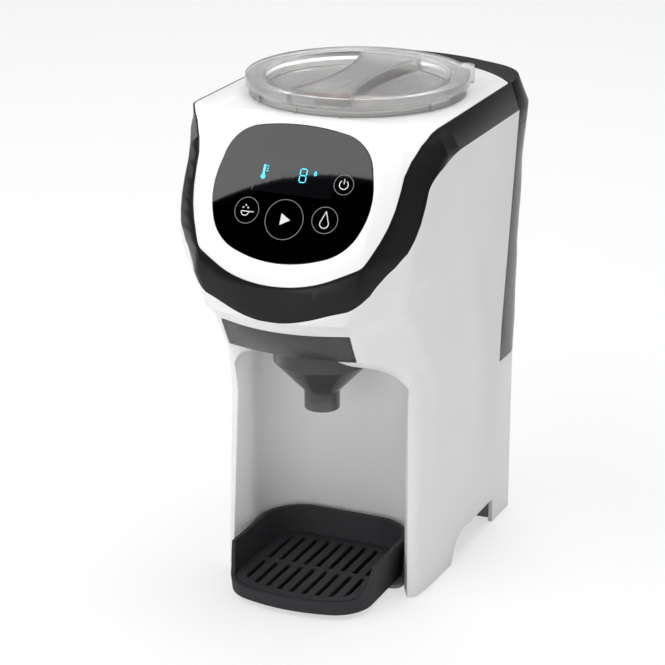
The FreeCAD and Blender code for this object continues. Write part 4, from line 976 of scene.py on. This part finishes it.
@dataclass
class WaterSide:
    """The tank, its lid and valve, and the water path."""

    tank_edge: float = 0.7 * MM
    lid_edge: float = 1.2 * MM
    spring_edge: float = 0.08 * MM
    valve_travel: float = 2.5 * MM
    mark_levels: tuple[float, ...] = tuple(height * MM for height in range(130, 241, 10))
    mark_start: float = -46.0 * MM
    mark_lengths: tuple[float, float] = (13.0 * MM, 7.0 * MM)
    mark_steps: int = 8
    mark_high: float = 0.9 * MM
    mark_proud: float = 0.15 * MM

    def build(self) -> None:
        """Round, mark and dress the water side."""
        self.mark_tank()
        self.wind_spring()
        MOULD.soften("water_tank", Stock.tank, self.tank_edge)
        MOULD.soften("tank_lid", Stock.trim, self.lid_edge)
        for node, finish in (("tank_hinge_pin", Stock.steel), ("tank_valve", Stock.acetal),
                             ("valve_seal", Stock.silicone), ("valve_cage", Stock.acetal),
                             ("tank_float", Stock.acetal), ("tank_dock", Stock.trim),
                             ("water_pump", Stock.trim), ("water_heater", Stock.cast),
                             ("heat_cutout", Stock.trim), ("feed_hose", Stock.hose),
                             ("pressure_hose", Stock.hose), ("hot_hose", Stock.hose)):
            dress(node, finish)

    def wind_spring(self) -> None:
        """Round the valve's spring and give it a mesh of its own."""
        spring = MOULD.soften("valve_spring", Stock.steel, self.spring_edge)
        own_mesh(spring)

    def mark_tank(self) -> None:
        """Mark the water levels on the tank's rear wall, every other one longer."""
        data = frame["nodes"]["water_tank"].data
        wall = BVHTree.FromPolygons([point.co for point in data.vertices],
                                    [face.vertices for face in data.polygons])
        behind, forwards = 1.0, Vector((0.0, -1.0, 0.0))
        work = bmesh.new()
        for index, level in enumerate(self.mark_levels):
            length = self.mark_lengths[index % 2]
            rings = []
            for step in range(self.mark_steps + 1):
                x = self.mark_start + length * step / self.mark_steps
                points = []
                for height in (level, level + self.mark_high):
                    hit, normal, _, _ = wall.ray_cast(Vector((x, behind, height)), forwards)
                    points += [hit - normal * self.mark_proud, hit + normal * self.mark_proud]
                rings.append([work.verts.new(points[corner]) for corner in (0, 1, 3, 2)])
            bridge(work, rings)
            work.faces.new(rings[0])
            work.faces.new(rings[-1])
        add_piece("tank_marks", finished_mesh(work, "tank_marks"), body_of("water_tank"),
                  Stock.mark)


@dataclass
class Base:
    """The bottom of the machine."""

    plate_edge: float = 0.5 * MM
    foot_edge: float = 0.5 * MM

    def build(self) -> None:
        """Round and dress the base."""
        MOULD.soften("base_plate", Stock.grey, self.plate_edge)
        MOULD.soften("rubber_feet", Stock.rubber, self.foot_edge)
        dress("bay_floor", Stock.grey)
        dress("case_screws", Stock.steel)
        dress("cord_gland", Stock.trim)
        dress("power_board", Stock.board)


# ---------------------------------------------------------------- studio
def standing(place: Vector, right: Vector, up: Vector, back: Vector) -> Matrix:
    """Return the matrix of what stands at a place and looks away from its back."""
    return Matrix.Translation(place) @ Matrix((right, up, back)).transposed().to_4x4()


@dataclass(frozen=True)
class Lamp:
    """A square soft light that looks at the machine."""

    name: str
    place: Vector
    wide: float
    power: float


@dataclass
class Studio:
    """A plain pale floor, soft light and the camera."""

    eye: Vector = Vector((557.8 * MM, -1283.9 * MM, 641.9 * MM))
    azimuth: float = 24.03
    pitch: float = 19.68
    lens: float = 134.7
    sensor: float = 36.0
    floor_reach: float = 12.0
    floor_paper: float = 0.9
    floor_white: float = 0.6
    sky: float = 0.35
    sky_seen: float = 0.65
    sky_through: float = 0.31
    sky_gloss: float = 0.18
    sky_gloss_front: float = 0.2
    front_from: float = 0.25
    front_to: float = -0.3
    aim: Vector = Vector((0.0, 0.0, 150.0 * MM))
    box_way: Vector = Vector((-0.415, -0.6934, 0.5891))
    box_level: Vector = Vector((-0.8581, 0.5135, 0.0))
    box_edge_middle: Vector = Vector((-0.7069, -1.2657, 1.2616))
    box_edge_slope: float = 0.327
    box_size: Point = (2.6, 0.8)
    box_shift: float = 0.42
    box_power: float = 20.5
    lamps: tuple[Lamp, ...] = (
        Lamp("top", Vector((0.35, 0.25, 2.3)), 1.3, 24.0),
        Lamp("fill", Vector((1.9, -1.1, 0.9)), 1.5, 3.6),
        Lamp("front", Vector((-0.2, -2.1, 0.3)), 1.0, 9.0),
        Lamp("back", Vector((-0.7, 1.7, 2.1)), 1.4, 11.0))

    def build(self) -> None:
        """Set up the camera, the floor and the light."""
        self.camera()
        self.floor()
        self.world()
        self.softbox()
        for lamp in self.lamps:
            self.hang(lamp)
        bpy.context.scene.view_settings.view_transform = "Standard"

    def camera(self) -> None:
        """Place the camera."""
        turn, drop = math.radians(self.azimuth), math.radians(self.pitch)
        right = Vector((math.cos(turn), math.sin(turn), 0.0))
        back = Vector((math.sin(turn) * math.cos(drop), -math.cos(turn) * math.cos(drop),
                       math.sin(drop)))
        data = bpy.data.cameras.new("camera")
        data.lens = self.lens
        data.sensor_width = self.sensor
        camera = new_object("camera", data)
        camera.matrix_world = standing(self.eye, right, back.cross(right), back)
        bpy.context.scene.camera = camera

    def floor(self) -> None:
        """Lay a wide pale floor."""
        mesh = bpy.data.meshes.new("floor")
        reach = self.floor_reach
        corners = [(-reach, -reach, 0.0), (reach, -reach, 0.0), (reach, reach, 0.0),
                   (-reach, reach, 0.0)]
        mesh.from_pydata(corners, [], [(0, 1, 2, 3)])
        floor = new_object("floor", mesh)
        material = bpy.data.materials.new("floor_paper")
        shader = Shader(material)
        paper = shader.node("ShaderNodeBsdfDiffuse", None,
                            {"Color": (self.floor_paper,) * 3 + (1.0,)})
        white = shader.node("ShaderNodeEmission", None, {"Color": WHITE, "Strength": 1.0})
        share = shader.ray("Is Camera Ray") * self.floor_white
        shader.finish(shader.node("ShaderNodeMixShader", None, {0: share, 1: paper, 2: white}))
        mesh.materials.append(material)

    def world(self) -> None:
        """Make a white world that lights softly; what shines shows it darker to the front."""
        world = bpy.data.worlds.new("studio")
        bpy.context.scene.world = world
        shader = Shader(world)
        seen = shader.ray("Is Camera Ray")
        through = shader.ray("Is Transmission Ray")
        glossy = shader.ray("Is Glossy Ray")
        towards = shader.node("ShaderNodeTexCoord", output="Generated")
        depth = shader.node("ShaderNodeSeparateXYZ", None, {"Vector": towards}, "Y")
        front = shader.node("ShaderNodeMapRange", {"interpolation_type": "SMOOTHSTEP"},
                            {"Value": depth, "From Min": self.front_from,
                             "From Max": self.front_to, "To Min": 0.0, "To Max": 1.0})
        strength = (self.sky + seen * self.sky_seen + through * self.sky_through
                    - glossy * self.sky_gloss - glossy * front * self.sky_gloss_front)
        sky = shader.node("ShaderNodeBackground", None, {"Color": WHITE, "Strength": strength})
        shader.finish(sky, "ShaderNodeOutputWorld")

    def softbox(self) -> None:
        """Hang the long front light, whose lower edge draws the line across the panel."""
        rise = self.box_level.cross(self.box_way)
        edge = (self.box_level - rise * self.box_edge_slope).normalized()
        upright = edge.cross(self.box_way)
        data = bpy.data.lights.new("key", "AREA")
        data.shape = "RECTANGLE"
        data.size, data.size_y = self.box_size
        data.energy = self.box_power
        middle = self.box_edge_middle + upright * (self.box_size[1] / 2) + edge * self.box_shift
        new_object("key", data).matrix_world = standing(middle, -edge, upright, self.box_way)

    def hang(self, lamp: Lamp) -> None:
        """Hang a square light that looks at the machine.

        Args:
            lamp: The light.
        """
        data = bpy.data.lights.new(lamp.name, "AREA")
        data.size = lamp.wide
        data.energy = lamp.power
        turn = (lamp.place - self.aim).to_track_quat("Z", "Y").to_matrix().to_4x4()
        new_object(lamp.name, data).matrix_world = Matrix.Translation(lamp.place) @ turn


def main() -> None:
    """Build the machine and the studio, and log what each step makes."""
    logging.basicConfig(level=logging.INFO, format="%(name)s: %(message)s")
    Studio().build()
    for part in (Casing(), TouchPanel(), Hopper(), Drive(), FunnelUnit(), DripTray(),
                 WaterSide(), Base()):
        part.build()


if __name__ == "__main__":
    main()
